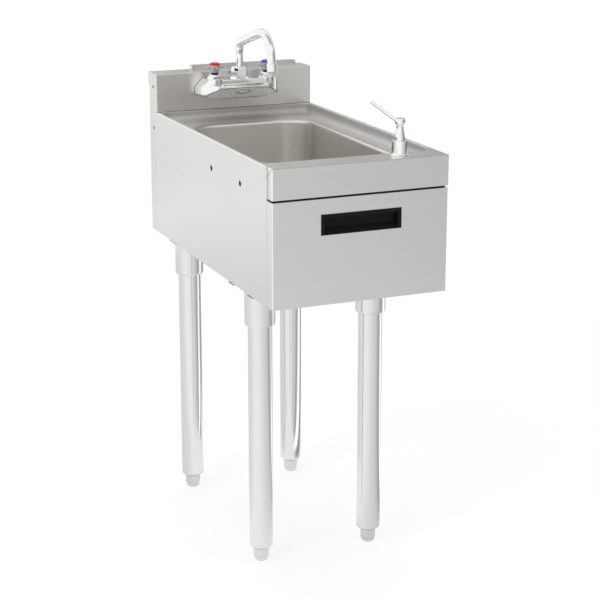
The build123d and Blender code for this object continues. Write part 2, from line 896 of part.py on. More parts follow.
with BuildPart() as drawer_pull:
    block(-pull_width / 2, pull_width / 2, pull_front_y, face_y, pull_low_z, pull_top_z)
    block(
        -cutout_half + pull_gap,
        cutout_half - pull_gap,
        face_y,
        pull_back_y,
        cutout_low_z + pull_gap,
        cutout_top_z - pull_gap,
    )
    with BuildSketch(Plane.YZ.offset(-hollow_half)):
        with BuildLine():
            Polyline(
                (pull_front_y - overrun, hollow_low_z),
                (face_y, hollow_low_z),
                (pull_back_y - pull_wall, hollow_low_z + pull_slope),
                (pull_back_y - pull_wall, cutout_top_z - pull_gap - pull_wall),
                (face_back_y, cutout_top_z - pull_gap - pull_wall),
                (face_back_y, hollow_top_z),
                (pull_front_y - overrun, hollow_top_z),
                close=True,
            )
        make_face()
    extrude(amount=2 * hollow_half, mode=Mode.SUBTRACT)
drawer_pull.part.label = "drawer_pull"
export_step(drawer_pull.part, "parts/drawer_pull.step")

tray_half_width = inner_half - tray_side_room
tray_low_z = box_low_z + tray_lift
tray_top_z = tray_low_z + tray_height
tray_back_y = face_back_y + tray_length
screw_heights = (tray_low_z + drawer_screw_rise, tray_low_z + drawer_screw_rise + drawer_screw_spacing)
screw_x = tray_half_width - drawer_screw_inset
screw_places = [(x, z) for x in (-screw_x, screw_x) for z in screw_heights]

with BuildPart() as drawer_tray:
    block(-tray_half_width, tray_half_width, face_back_y, tray_back_y, tray_low_z, tray_top_z)
    block(
        -tray_half_width + sheet,
        tray_half_width - sheet,
        face_back_y + sheet,
        tray_back_y - sheet,
        tray_low_z + sheet,
        tray_top_z + overrun,
        Mode.SUBTRACT,
    )
    for side in (-1, 1):
        block(
            side * (tray_half_width - sheet),
            side * (tray_half_width - tray_hem),
            face_back_y + sheet,
            tray_back_y - sheet,
            tray_top_z - sheet,
            tray_top_z,
        )
    for x, z in screw_places:
        with Locations(Plane((x, face_back_y, z), z_dir=(0, 1, 0))):
            Cylinder(fastener_radius, 2 * sheet + overrun, mode=Mode.SUBTRACT)
drawer_tray.part.label = "drawer_tray"
export_step(drawer_tray.part, "parts/drawer_tray.step")

with BuildPart() as drawer_screws:
    for x, z in screw_places:
        with Locations(Plane((x, face_back_y + sheet / 2, z), z_dir=(0, 1, 0))):
            Cylinder(fastener_radius, sheet)
        with Locations(Plane((x, face_back_y + sheet + fastener_head_height / 2, z), z_dir=(0, 1, 0))):
            Cylinder(fastener_head_radius, fastener_head_height)
drawer_screws.part.label = "drawer_screws"
export_step(drawer_screws.part, "parts/drawer_screws.step")

rail_y = front_y + rail_start
rail_low_z = tray_low_z + rail_lift
rail_top_z = rail_low_z + rail_height
rail_web_x = inner_half - sheet
runner_out_x = rail_web_x - runner_web_gap
runner_low_z = rail_low_z + sheet + runner_gap
runner_top_z = rail_top_z - sheet - runner_gap
rivet_ys = (rail_y + rivet_inset, rail_y + rail_length - rivet_inset)
rail_z = (rail_low_z + rail_top_z) / 2

for name, side in (("left", -1), ("right", 1)):
    with BuildPart() as drawer_rail:
        block(side * inner_half, side * (inner_half - rail_depth), rail_y, rail_y + rail_length, rail_low_z, rail_top_z)
        block(
            side * rail_web_x,
            side * (inner_half - rail_depth - overrun),
            rail_y - overrun,
            rail_y + rail_length + overrun,
            rail_low_z + sheet,
            rail_top_z - sheet,
            Mode.SUBTRACT,
        )
        for rivet_y in rivet_ys:
            with Locations(Plane((side * rail_web_x, rivet_y, rail_z), z_dir=(1, 0, 0))):
                Cylinder(fastener_radius, 2 * sheet + overrun, mode=Mode.SUBTRACT)
    drawer_rail.part.label = f"{name}_drawer_rail"
    export_step(drawer_rail.part, f"parts/{name}_drawer_rail.step")

    with BuildPart() as drawer_runner:
        block(
            side * tray_half_width,
            side * runner_out_x,
            rail_y,
            rail_y + runner_length,
            runner_low_z,
            runner_top_z,
        )
        block(
            side * (tray_half_width + sheet),
            side * (runner_out_x + overrun),
            rail_y - overrun,
            rail_y + runner_length + overrun,
            runner_low_z + sheet,
            runner_top_z - sheet,
            Mode.SUBTRACT,
        )
    drawer_runner.part.label = f"{name}_drawer_runner"
    export_step(drawer_runner.part, f"parts/{name}_drawer_runner.step")

with BuildPart() as rail_rivets:
    for side in (-1, 1):
        for rivet_y in rivet_ys:
            with Locations(Plane((side * (rail_web_x + sheet / 2), rivet_y, rail_z), z_dir=(1, 0, 0))):
                Cylinder(fastener_radius, sheet)
            head_x = rail_web_x - fastener_head_height / 2
            with Locations(Plane((side * head_x, rivet_y, rail_z), z_dir=(1, 0, 0))):
                Cylinder(fastener_head_radius, fastener_head_height)
rail_rivets.part.label = "rail_rivets"
export_step(rail_rivets.part, "parts/rail_rivets.step")

# Faucet body: hull-shaped casting on the splash, with the valve hubs, the spout boss and two shanks
valve_y = splash_y - valve_ahead
spout_y = splash_y - spout_ahead
hull_front_y = splash_y - hull_depth
hull_back_y = splash_y - wall_gasket_height
keel_y = splash_y - keel_ahead
hull_top_z = rim_z + hull_top_rise
hub_top_z = rim_z + hub_top
boss_top_z = rim_z + boss_top
brow_z = rim_z + brow_rise
keel_z = rim_z + keel_rise
valve_floor_z = hub_top_z - valve_bore_depth
shank_groove_y = splash_y + sheet + shank_nut_height + shank_groove_gap
shank_end_y = splash_y + shank_length
hull_right_side = [
    (keel_half, rim_z + keel_corner_rise),
    (keel_tip_half, rim_z + keel_tip_rise),
    (hull_wall_half, rim_z + hull_wall_rise),
    (hull_slope_half, rim_z + hull_slope_rise),
    (hull_crown_half, hull_top_z),
]
hull_outline = [(0, keel_z), *hull_right_side, *[(-x, z) for x, z in reversed(hull_right_side)]]

with BuildPart() as faucet_body:
    shoulder_y = hull_front_y + hull_shoulder_back
    side_y = hull_front_y + hull_side_back
    with BuildSketch(Plane.XY.offset(keel_z)):
        with BuildLine():
            ThreePointArc((-hull_shoulder_half, shoulder_y), (0, hull_front_y), (hull_shoulder_half, shoulder_y))
            ThreePointArc((hull_shoulder_half, shoulder_y), (hull_side_half, side_y), (hull_wall_half, hull_back_y))
            Line((hull_wall_half, hull_back_y), (-hull_wall_half, hull_back_y))
            ThreePointArc((-hull_wall_half, hull_back_y), (-hull_side_half, side_y), (-hull_shoulder_half, shoulder_y))
        make_face()
    extrude(amount=hull_top_z - keel_z)
    with BuildSketch(Plane.YZ.offset(-hull_wall_half)):
        with BuildLine():
            Polyline(
                (hull_front_y, brow_z),
                (hull_front_y, brow_z + brow_height),
                (hull_front_y + hull_ledge, rim_z + ledge_rise),
                (hull_front_y + hull_ledge, hull_top_z),
                (hull_back_y, hull_top_z),
                (hull_back_y, keel_z),
                (keel_y, keel_z),
                close=True,
            )
        make_face()
    extrude(amount=2 * hull_wall_half, mode=Mode.INTERSECT)
    with BuildSketch(Plane((0, hull_back_y, 0), x_dir=(1, 0, 0), z_dir=(0, -1, 0))):
        with BuildLine():
            Polyline(*hull_outline, close=True)
        make_face()
    extrude(amount=hull_back_y - hull_front_y, mode=Mode.INTERSECT)
    fillet(faucet_body.edges().group_by(Axis.Z)[-1], hull_round)
    for side in (-1, 1):
        post(side * valve_half, valve_y, rim_z + ledge_rise, hub_top_z, hub_radius)
    with Locations((0, spout_y, (hull_top_z + boss_top_z) / 2)):
        Cone(dome_radius, boss_radius, boss_top_z - hull_top_z)
    for side in (-1, 1):
        wall_side = Plane((side * valve_half, 0, shank_z), x_dir=(1, 0, 0), z_dir=(0, 1, 0))
        for radius, start, end in (
            (shank_radius, hull_back_y, shank_groove_y),
            (shank_radius - shank_groove_depth, shank_groove_y, shank_groove_y + shank_groove_width),
            (shank_radius, shank_groove_y + shank_groove_width, shank_end_y),
        ):
            with BuildSketch(wall_side.offset(start)):
                Circle(radius)
            extrude(amount=end - start)
        with BuildSketch(wall_side.offset(valve_y)):
            Circle(shank_bore)
        extrude(amount=shank_end_y - valve_y + overrun, mode=Mode.SUBTRACT)
        post(side * valve_half, valve_y, valve_floor_z, hub_top_z + overrun, valve_bore_radius, Mode.SUBTRACT)
    post(0, spout_y, shank_z, boss_top_z + overrun, boss_bore, Mode.SUBTRACT)
    slope = atan((brow_z - keel_z) / (keel_y - hull_front_y))
    badge_plane = Plane(
        (0, hull_front_y + badge_drop * cos(slope), brow_z - badge_drop * sin(slope)),
        x_dir=(1, 0, 0),
        z_dir=(0, -sin(slope), -cos(slope)),
    )
    with BuildSketch(badge_plane):
        Ellipse(badge_width / 2, badge_height / 2)
    extrude(amount=badge_proud)
    with BuildSketch(badge_plane):
        Ellipse(badge_width / 2, badge_height / 2)
        Ellipse(badge_width / 2 - badge_rim, badge_height / 2 - badge_rim, mode=Mode.SUBTRACT)
    extrude(amount=badge_proud + badge_rim_proud)
faucet_body.part.label = "faucet_body"
export_step(faucet_body.part, "parts/faucet_body.step")

with BuildPart() as faucet_gasket:
    with BuildSketch(Plane((0, splash_y, 0), x_dir=(1, 0, 0), z_dir=(0, -1, 0))):
        with BuildLine():
            Polyline(*hull_outline, close=True)
        make_face()
        offset(amount=-wall_gasket_inset)
        with Locations((-valve_half, shank_z), (valve_half, shank_z)):
            Circle(shank_radius + running_gap, mode=Mode.SUBTRACT)
    extrude(amount=wall_gasket_height)
faucet_gasket.part.label = "faucet_gasket"
export_step(faucet_gasket.part, "parts/faucet_gasket.step")

with BuildPart() as faucet_shank_nuts:
    for side in (-1, 1):
        with BuildSketch(Plane((side * valve_half, splash_y + sheet, shank_z), x_dir=(1, 0, 0), z_dir=(0, 1, 0))):
            RegularPolygon(shank_nut_flats / 2, 6, major_radius=False)
            Circle(shank_radius, mode=Mode.SUBTRACT)
        extrude(amount=shank_nut_height)
faucet_shank_nuts.part.label = "faucet_shank_nuts"
export_step(faucet_shank_nuts.part, "parts/faucet_shank_nuts.step")

# Valves: bonnets, collars, stems, handles and index discs
bonnet_shoulder_z = hub_top_z + bonnet_hex_height
bonnet_top_z = bonnet_shoulder_z + bonnet_height
collar_top_z = bonnet_top_z + collar_height
handle_low_z = collar_top_z + handle_gap
handle_top_z = handle_low_z + handle_height

with BuildPart() as valve_bonnets:
    for side in (-1, 1):
        with BuildSketch(Plane((side * valve_half, valve_y, hub_top_z))):
            RegularPolygon(bonnet_flats / 2, 6, major_radius=False)
        extrude(amount=bonnet_hex_height)
        post(side * valve_half, valve_y, bonnet_shoulder_z, bonnet_top_z, bonnet_radius)
        post(
            side * valve_half,
            valve_y,
            hub_top_z - overrun,
            bonnet_top_z + overrun,
            valve_stem_radius + running_gap,
            Mode.SUBTRACT,
        )
    fillet(
        valve_bonnets.edges().filter_by(GeomType.CIRCLE).filter_by(
            lambda edge: edge.radius > bonnet_radius - close and edge.center().Z > bonnet_top_z - close
        ),
        bonnet_round,
    )
valve_bonnets.part.label = "valve_bonnets"
export_step(valve_bonnets.part, "parts/valve_bonnets.step")

with BuildPart() as handle_collars:
    for side in (-1, 1):
        post(side * valve_half, valve_y, bonnet_top_z, collar_top_z, collar_radius)
        post(
            side * valve_half,
            valve_y,
            bonnet_top_z - overrun,
            collar_top_z + overrun,
            valve_stem_radius + running_gap,
            Mode.SUBTRACT,
        )
handle_collars.part.label = "handle_collars"
export_step(handle_collars.part, "parts/handle_collars.step")

disc_top_z = hub_top_z - valve_disc_drop
stem_top_z = handle_low_z + valve_stem_grip
flute_circle = handle_top_radius + flute_radius * flute_depth_share

for name, side in (("hot", -1), ("cold", 1)):
    x = side * valve_half
    with BuildPart() as valve_stem:
        post(x, valve_y, disc_top_z, stem_top_z, valve_stem_radius)
        post(x, valve_y, disc_top_z - valve_disc_height, disc_top_z, valve_disc_radius)
    valve_stem.part.label = f"{name}_stem"
    export_step(valve_stem.part, f"parts/{name}_stem.step")

    with BuildPart() as valve_handle:
        with Locations((x, valve_y, handle_low_z)):
            Cone(
                handle_low_radius,
                handle_top_radius,
                handle_height,
                align=(Align.CENTER, Align.CENTER, Align.MIN),
            )
        with Locations((x, valve_y, handle_low_z)):
            with PolarLocations(flute_circle, flute_count, start_angle=180 / flute_count):
                Cylinder(
                    flute_radius,
                    handle_height - index_height,
                    align=(Align.CENTER, Align.CENTER, Align.MIN),
                    mode=Mode.SUBTRACT,
                )
        fillet(valve_handle.edges().group_by(Axis.Z)[-1], handle_round)
        for turn in range(arm_count):
            heading = radians(360 * turn / arm_count)
            with BuildSketch(Plane((x, valve_y, handle_top_z - arm_drop), z_dir=(cos(heading), sin(heading), 0))):
                Circle(arm_radius)
            extrude(amount=arm_reach - arm_radius)
            with Locations(
                (
                    x + (arm_reach - arm_radius) * cos(heading),
                    valve_y + (arm_reach - arm_radius) * sin(heading),
                    handle_top_z - arm_drop,
                )
            ):
                Sphere(arm_radius)
        post(x, valve_y, handle_top_z - index_seat, handle_top_z + overrun, index_radius, Mode.SUBTRACT)
        post(x, valve_y, handle_low_z - overrun, stem_top_z, valve_stem_radius, Mode.SUBTRACT)
    valve_handle.part.label = f"{name}_handle"
    export_step(valve_handle.part, f"parts/{name}_handle.step")

    with BuildPart() as index_disc:
        post(x, valve_y, handle_top_z - index_seat, handle_top_z - index_seat + index_height, index_radius)
        fillet(index_disc.edges().group_by(Axis.Z)[-1], index_height / 2)
    index_disc.part.label = f"{name}_index"
    export_step(index_disc.part, f"parts/{name}_index.step")

# Spout: nut on the body, bent tube with its collar, and the aerator at its tip
nut_top_z = boss_top_z + nut_height

with BuildPart() as spout_nut:
    with BuildSketch(Plane((0, spout_y, boss_top_z))):
        RegularPolygon(nut_flats / 2, 6, major_radius=False)
    extrude(amount=nut_height)
    chamfer(spout_nut.edges().group_by(Axis.Z)[-1], nut_chamfer)
    post(0, spout_y, boss_top_z - overrun, boss_top_z + nut_cavity_height, nut_cavity, Mode.SUBTRACT)
    post(0, spout_y, boss_top_z, nut_top_z + overrun, spout_riser_radius + running_gap, Mode.SUBTRACT)
spout_nut.part.label = "spout_nut"
export_step(spout_nut.part, "parts/spout_nut.step")

spout_low_z = boss_top_z + spout_lift
swell_z = nut_top_z + spout_swell_start
corner_z = rim_z + spout_corner_rise
slope_end = (
    spout_y - spout_run * cos(radians(spout_slope)),
    corner_z + spout_run * sin(radians(spout_slope)),
)
tip = (
    slope_end[0] - spout_fall * sin(radians(spout_lean)),
    slope_end[1] - spout_fall * cos(radians(spout_lean)),
)
tip_plane = Plane((0, tip[0], tip[1]), x_dir=(1, 0, 0), z_dir=(0, sin(radians(spout_lean)), cos(radians(spout_lean))))
bend_start_z = swell_z + spout_swell

with BuildPart() as spout:
    with BuildSketch(upright_plane(0, spout_y)):
        with BuildLine():
            Polyline(
                (0, spout_low_z),
                (spout_collar_radius, spout_low_z),
                (spout_collar_radius, spout_low_z + spout_collar_height),
                (spout_riser_radius, spout_low_z + spout_collar_height),
                (spout_riser_radius, swell_z),
                (spout_radius, bend_start_z),
                (0, bend_start_z),
                close=True,
            )
        make_face()
    revolve(axis=upright_axis(0, spout_y))
    with BuildLine(Plane.YZ) as spout_line:
        FilletPolyline(
            (spout_y, bend_start_z),
            (spout_y, corner_z),
            slope_end,
            tip,
            radius=[spout_first_bend, spout_second_bend],
        )
    with BuildSketch(Plane((0, spout_y, bend_start_z))):
        Circle(spout_radius)
    sweep(path=spout_line.line)
    with BuildSketch(Plane((0, spout_y, bend_start_z))):
        Circle(spout_bore)
    sweep(path=spout_line.line, mode=Mode.SUBTRACT)
    post(0, spout_y, spout_low_z - overrun, bend_start_z, spout_bore, Mode.SUBTRACT)
spout.part.label = "spout"
export_step(spout.part, "parts/spout.step")

with BuildPart() as spout_aerator:
    with BuildSketch(tip_plane.offset(-(aerator_length - aerator_grip))):
        Circle(aerator_radius)
    extrude(amount=aerator_length)
    chamfer(spout_aerator.edges().filter_by(GeomType.CIRCLE), aerator_chamfer)
    with BuildSketch(tip_plane):
        Circle(spout_radius)
    extrude(amount=aerator_grip + overrun, mode=Mode.SUBTRACT)
    with BuildSketch(tip_plane.offset(overrun)):
        Circle(spout_radius - aerator_lip)
    extrude(amount=-(aerator_length + overrun), mode=Mode.SUBTRACT)
    with BuildSketch(tip_plane.offset(-(aerator_length - aerator_grip) / 2)):
        Circle(spout_radius)
    extrude(amount=aerator_grid_height)
spout_aerator.part.label = "spout_aerator"
export_step(spout_aerator.part, "parts/spout_aerator.step")

# Soap pump: base, nut, cylinder, plunger, spring, head, nozzle, dip tube and bottle
pump_plane = Plane((pump_x, pump_y, rim_z), x_dir=(1, 0, 0), z_dir=(0, -1, 0))
pump_axis = upright_axis(pump_x, pump_y)
rod_bore = rod_radius + running_gap

with BuildPart() as soap_base:
    with BuildSketch(pump_plane):
        with BuildLine():
            Line((base_shank_radius, 0), (base_flange_radius, 0))
            Line((base_flange_radius, 0), (base_flange_radius, base_flange_height))
            Spline(
                (base_flange_radius, base_flange_height),
                (base_radius, base_flange_height + base_flare),
                tangents=((-1, 0), (0, 1)),
            )
            Polyline(
                (base_radius, base_flange_height + base_flare),
                (base_radius, base_height),
                (base_well_radius, base_height),
                (base_well_radius, base_floor_high),
                (rod_bore, base_floor_high),
                (rod_bore, base_floor_low),
                (base_shank_bore, base_floor_low),
                (base_shank_bore, -base_shank_length),
                (base_shank_radius, -base_shank_length),
                (base_shank_radius, 0),
            )
        make_face()
    revolve(axis=pump_axis)
soap_base.part.label = "soap_base"
export_step(soap_base.part, "parts/soap_base.step")

with BuildPart() as soap_locknut:
    with BuildSketch(Plane((pump_x, pump_y, rim_z - sheet - soap_nut_height))):
        Circle(soap_nut_radius)
        Circle(base_shank_radius, mode=Mode.SUBTRACT)
    extrude(amount=soap_nut_height)
soap_locknut.part.label = "soap_locknut"
export_step(soap_locknut.part, "parts/soap_locknut.step")

with BuildPart() as soap_cylinder:
    with BuildSketch(pump_plane):
        with BuildLine():
            Polyline(
                (piston_radius + running_gap, base_floor_low),
                (cylinder_radius, base_floor_low),
                (cylinder_radius, -cylinder_low - overrun),
                (inlet_radius, -cylinder_low - overrun),
                (inlet_radius, -cylinder_low - inlet_length),
                (inlet_bore, -cylinder_low - inlet_length),
                (inlet_bore, -cylinder_low),
                (piston_radius + running_gap, -cylinder_low),
                close=True,
            )
        make_face()
    revolve(axis=pump_axis)
soap_cylinder.part.label = "soap_cylinder"
export_step(soap_cylinder.part, "parts/soap_cylinder.step")

with BuildPart() as soap_dip_tube:
    tube_top_z = rim_z - cylinder_low - inlet_length + tube_grip
    post(pump_x, pump_y, rim_z - tube_low, tube_top_z, inlet_bore)
    post(pump_x, pump_y, rim_z - tube_low - overrun, tube_top_z + overrun, tube_bore, Mode.SUBTRACT)
soap_dip_tube.part.label = "soap_dip_tube"
export_step(soap_dip_tube.part, "parts/soap_dip_tube.step")

with BuildPart() as soap_plunger:
    post(pump_x, pump_y, rim_z - piston_high, rim_z + head_socket, rod_radius)
    post(pump_x, pump_y, rim_z - piston_high - piston_height, rim_z - piston_high, piston_radius)
soap_plunger.part.label = "soap_plunger"
export_step(soap_plunger.part, "parts/soap_plunger.step")

spring_length = head_ceiling - base_floor_high - 2 * spring_wire - 2 * overrun / 10

with BuildPart() as soap_spring:
    spring_z = rim_z + base_floor_high + spring_wire + overrun / 10
    with BuildLine(Plane((pump_x, pump_y, spring_z))) as coil:
        Helix(spring_turn_height, spring_length, spring_radius)
    with BuildSketch(Plane(coil.line @ 0, z_dir=coil.line % 0)):
        Circle(spring_wire)
    sweep(path=coil.line, is_frenet=True)
soap_spring.part.label = "soap_spring"
export_step(soap_spring.part, "parts/soap_spring.step")

nozzle_tilt = radians(nozzle_slope)
nozzle_rise = sin(nozzle_tilt) / cos(nozzle_tilt)
nozzle_length = (nozzle_reach - nozzle_root) / cos(nozzle_tilt)
nozzle_plane = Plane(
    (pump_x, pump_y + nozzle_root, rim_z + nozzle_height + nozzle_root * nozzle_rise),
    x_dir=(1, 0, 0),
    z_dir=(0, cos(nozzle_tilt), sin(nozzle_tilt)),
)

with BuildPart() as soap_head:
    with BuildSketch(pump_plane):
        with BuildLine():
            Polyline(
                (rod_bore, head_socket),
                (rod_bore, head_ceiling),
                (head_skirt_radius, head_ceiling),
                (head_skirt_radius, base_height - head_dip),
                (head_radius, base_height - head_dip),
                (head_radius, head_shoulder),
                (head_neck_radius, head_neck),
            )
            Spline(
                (head_neck_radius, head_neck),
                (head_ball_radius, head_ball),
                (head_cap_radius, head_top),
                tangents=((0, 1), (-1, 1)),
            )
            Polyline(
                (head_cap_radius, head_top),
                (0, head_top),
                (0, head_socket),
                (rod_bore, head_socket),
            )
        make_face()
    revolve(axis=pump_axis)
    with BuildSketch(nozzle_plane):
        Circle(nozzle_radius)
    extrude(amount=nozzle_length, mode=Mode.SUBTRACT)
soap_head.part.label = "soap_head"
export_step(soap_head.part, "parts/soap_head.step")

with BuildPart() as soap_nozzle:
    with BuildSketch(nozzle_plane):
        Circle(nozzle_radius)
    extrude(amount=nozzle_length)
    fillet(soap_nozzle.edges().group_by(Axis.Y)[-1], nozzle_round)
    with BuildSketch(nozzle_plane.offset(nozzle_radius)):
        Circle(nozzle_bore)
    extrude(amount=nozzle_length, mode=Mode.SUBTRACT)
soap_nozzle.part.label = "soap_nozzle"
export_step(soap_nozzle.part, "parts/soap_nozzle.step")

neck_bore = base_shank_radius + bottle_bore_gap
bottle_bore = bottle_radius - bottle_wall

with BuildPart() as soap_bottle:
    with BuildSketch(pump_plane):
        with BuildLine():
            Polyline(
                (neck_bore, -bottle_neck_high),
                (bottle_neck_radius, -bottle_neck_high),
                (bottle_neck_radius, -bottle_neck_low),
                (bottle_radius, -bottle_shoulder),
                (bottle_radius, -bottle_bottom),
                (0, -bottle_bottom),
                (0, bottle_wall - bottle_bottom),
                (bottle_bore, bottle_wall - bottle_bottom),
                (bottle_bore, -bottle_shoulder - bottle_wall),
                (neck_bore, -bottle_neck_low - bottle_wall),
                close=True,
            )
        make_face()
    revolve(axis=pump_axis)
soap_bottle.part.label = "soap_bottle"
export_step(soap_bottle.part, "parts/soap_bottle.step")
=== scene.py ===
"""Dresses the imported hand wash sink: finishes, small fittings, studio and camera.

Everything is in metres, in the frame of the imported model: the origin is on the floor, midway between
the sides and midway between front and back, X points right, Y points to the back and Z points up.
"""

import logging
import math
from dataclasses import dataclass
from enum import Enum
from typing import Sequence

import bmesh
import bpy
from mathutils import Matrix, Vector


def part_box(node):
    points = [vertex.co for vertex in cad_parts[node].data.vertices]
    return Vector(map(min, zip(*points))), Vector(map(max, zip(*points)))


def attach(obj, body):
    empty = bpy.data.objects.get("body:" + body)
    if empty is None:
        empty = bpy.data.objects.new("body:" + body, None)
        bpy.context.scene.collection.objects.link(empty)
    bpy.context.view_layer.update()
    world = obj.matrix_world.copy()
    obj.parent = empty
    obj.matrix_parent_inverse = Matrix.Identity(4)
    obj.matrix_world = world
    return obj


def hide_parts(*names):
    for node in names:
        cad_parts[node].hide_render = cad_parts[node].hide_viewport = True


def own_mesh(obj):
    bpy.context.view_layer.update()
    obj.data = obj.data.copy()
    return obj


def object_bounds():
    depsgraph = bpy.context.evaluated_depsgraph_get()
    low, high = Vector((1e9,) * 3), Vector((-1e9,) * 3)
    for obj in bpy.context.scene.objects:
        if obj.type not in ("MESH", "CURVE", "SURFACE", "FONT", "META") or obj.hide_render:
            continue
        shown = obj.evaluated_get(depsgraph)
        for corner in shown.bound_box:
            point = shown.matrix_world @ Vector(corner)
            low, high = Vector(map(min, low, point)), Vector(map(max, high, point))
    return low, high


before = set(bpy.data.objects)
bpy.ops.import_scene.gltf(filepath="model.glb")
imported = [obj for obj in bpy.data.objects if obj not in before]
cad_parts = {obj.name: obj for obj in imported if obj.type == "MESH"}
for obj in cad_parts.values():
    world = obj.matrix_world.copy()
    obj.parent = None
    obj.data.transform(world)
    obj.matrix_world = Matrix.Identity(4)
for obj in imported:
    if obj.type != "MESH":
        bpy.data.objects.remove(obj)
CAD_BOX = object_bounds()
LOG = logging.getLogger("sink")

Socket = bpy.types.NodeSocket
Point = tuple[float, float, float]
Colour = tuple[float, float, float]
Span = tuple[float, float]
Shape = tuple[list, list]

# Body of what doesn't move, corners of the legs, and name and sign of X of each side and each tap.
ROOT = "cabinet"
CORNERS = ("front_left", "front_right", "rear_left", "rear_right")
SIDES = (("left", -1), ("right", 1))
TAPS = (("hot", -1), ("cold", 1))
UP: Point = (0.0, 0.0, 1.0)
UNIT_SPAN: Span = (0.0, 1.0)
SINE_SPAN: Span = (-1.0, 1.0)

# Edges of the sheet metal: left side, front, foot of the apron, rim, front and foot of a side panel,
# and front of the splash. A line or bead keeps off an edge by a hair.
LEFT_X, FRONT_Y = CAD_BOX[0].xy
APRON_Z, RIM_Z = (corner.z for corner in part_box("sink_top"))
PANEL_Y, FOOT_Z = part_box("left_side_panel")[0].yz
SPLASH_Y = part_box("backsplash")[0].y
HAIR = 0.0002

STEEL: Colour = (0.765, 0.757, 0.742)
WARM_STEEL: Colour = (0.72, 0.705, 0.68)
WHITE: Colour = (1.0, 1.0, 1.0)


def scaled(colour: Colour, share: float) -> Colour:
    """Colour with each channel multiplied by a share."""
    return tuple(min(1.0, channel * share) for channel in colour)


def grey(tone: float) -> Colour:
    """Neutral colour of a tone."""
    return tone, tone, tone


@dataclass(frozen=True)
class Stroke:
    """Fine line on a surface: a ground weld, a seam, a scored mark, a painted highlight along an edge, or
    painted shade in a hollow.

    Its tone is full up to the core share of its width from its middle, and gone at the fade share.
    """

    start: Point
    end: Point
    width: float = 0.0007
    tone: float = 0.06
    core_share = 0.3
    fade_share = 0.7

    def mirrored(self) -> "Stroke":
        """The same line on the other side of the sink."""
        start, end = ((-x, y, z) for x, y, z in (self.start, self.end))
        return Stroke(start, end, self.width, self.tone)


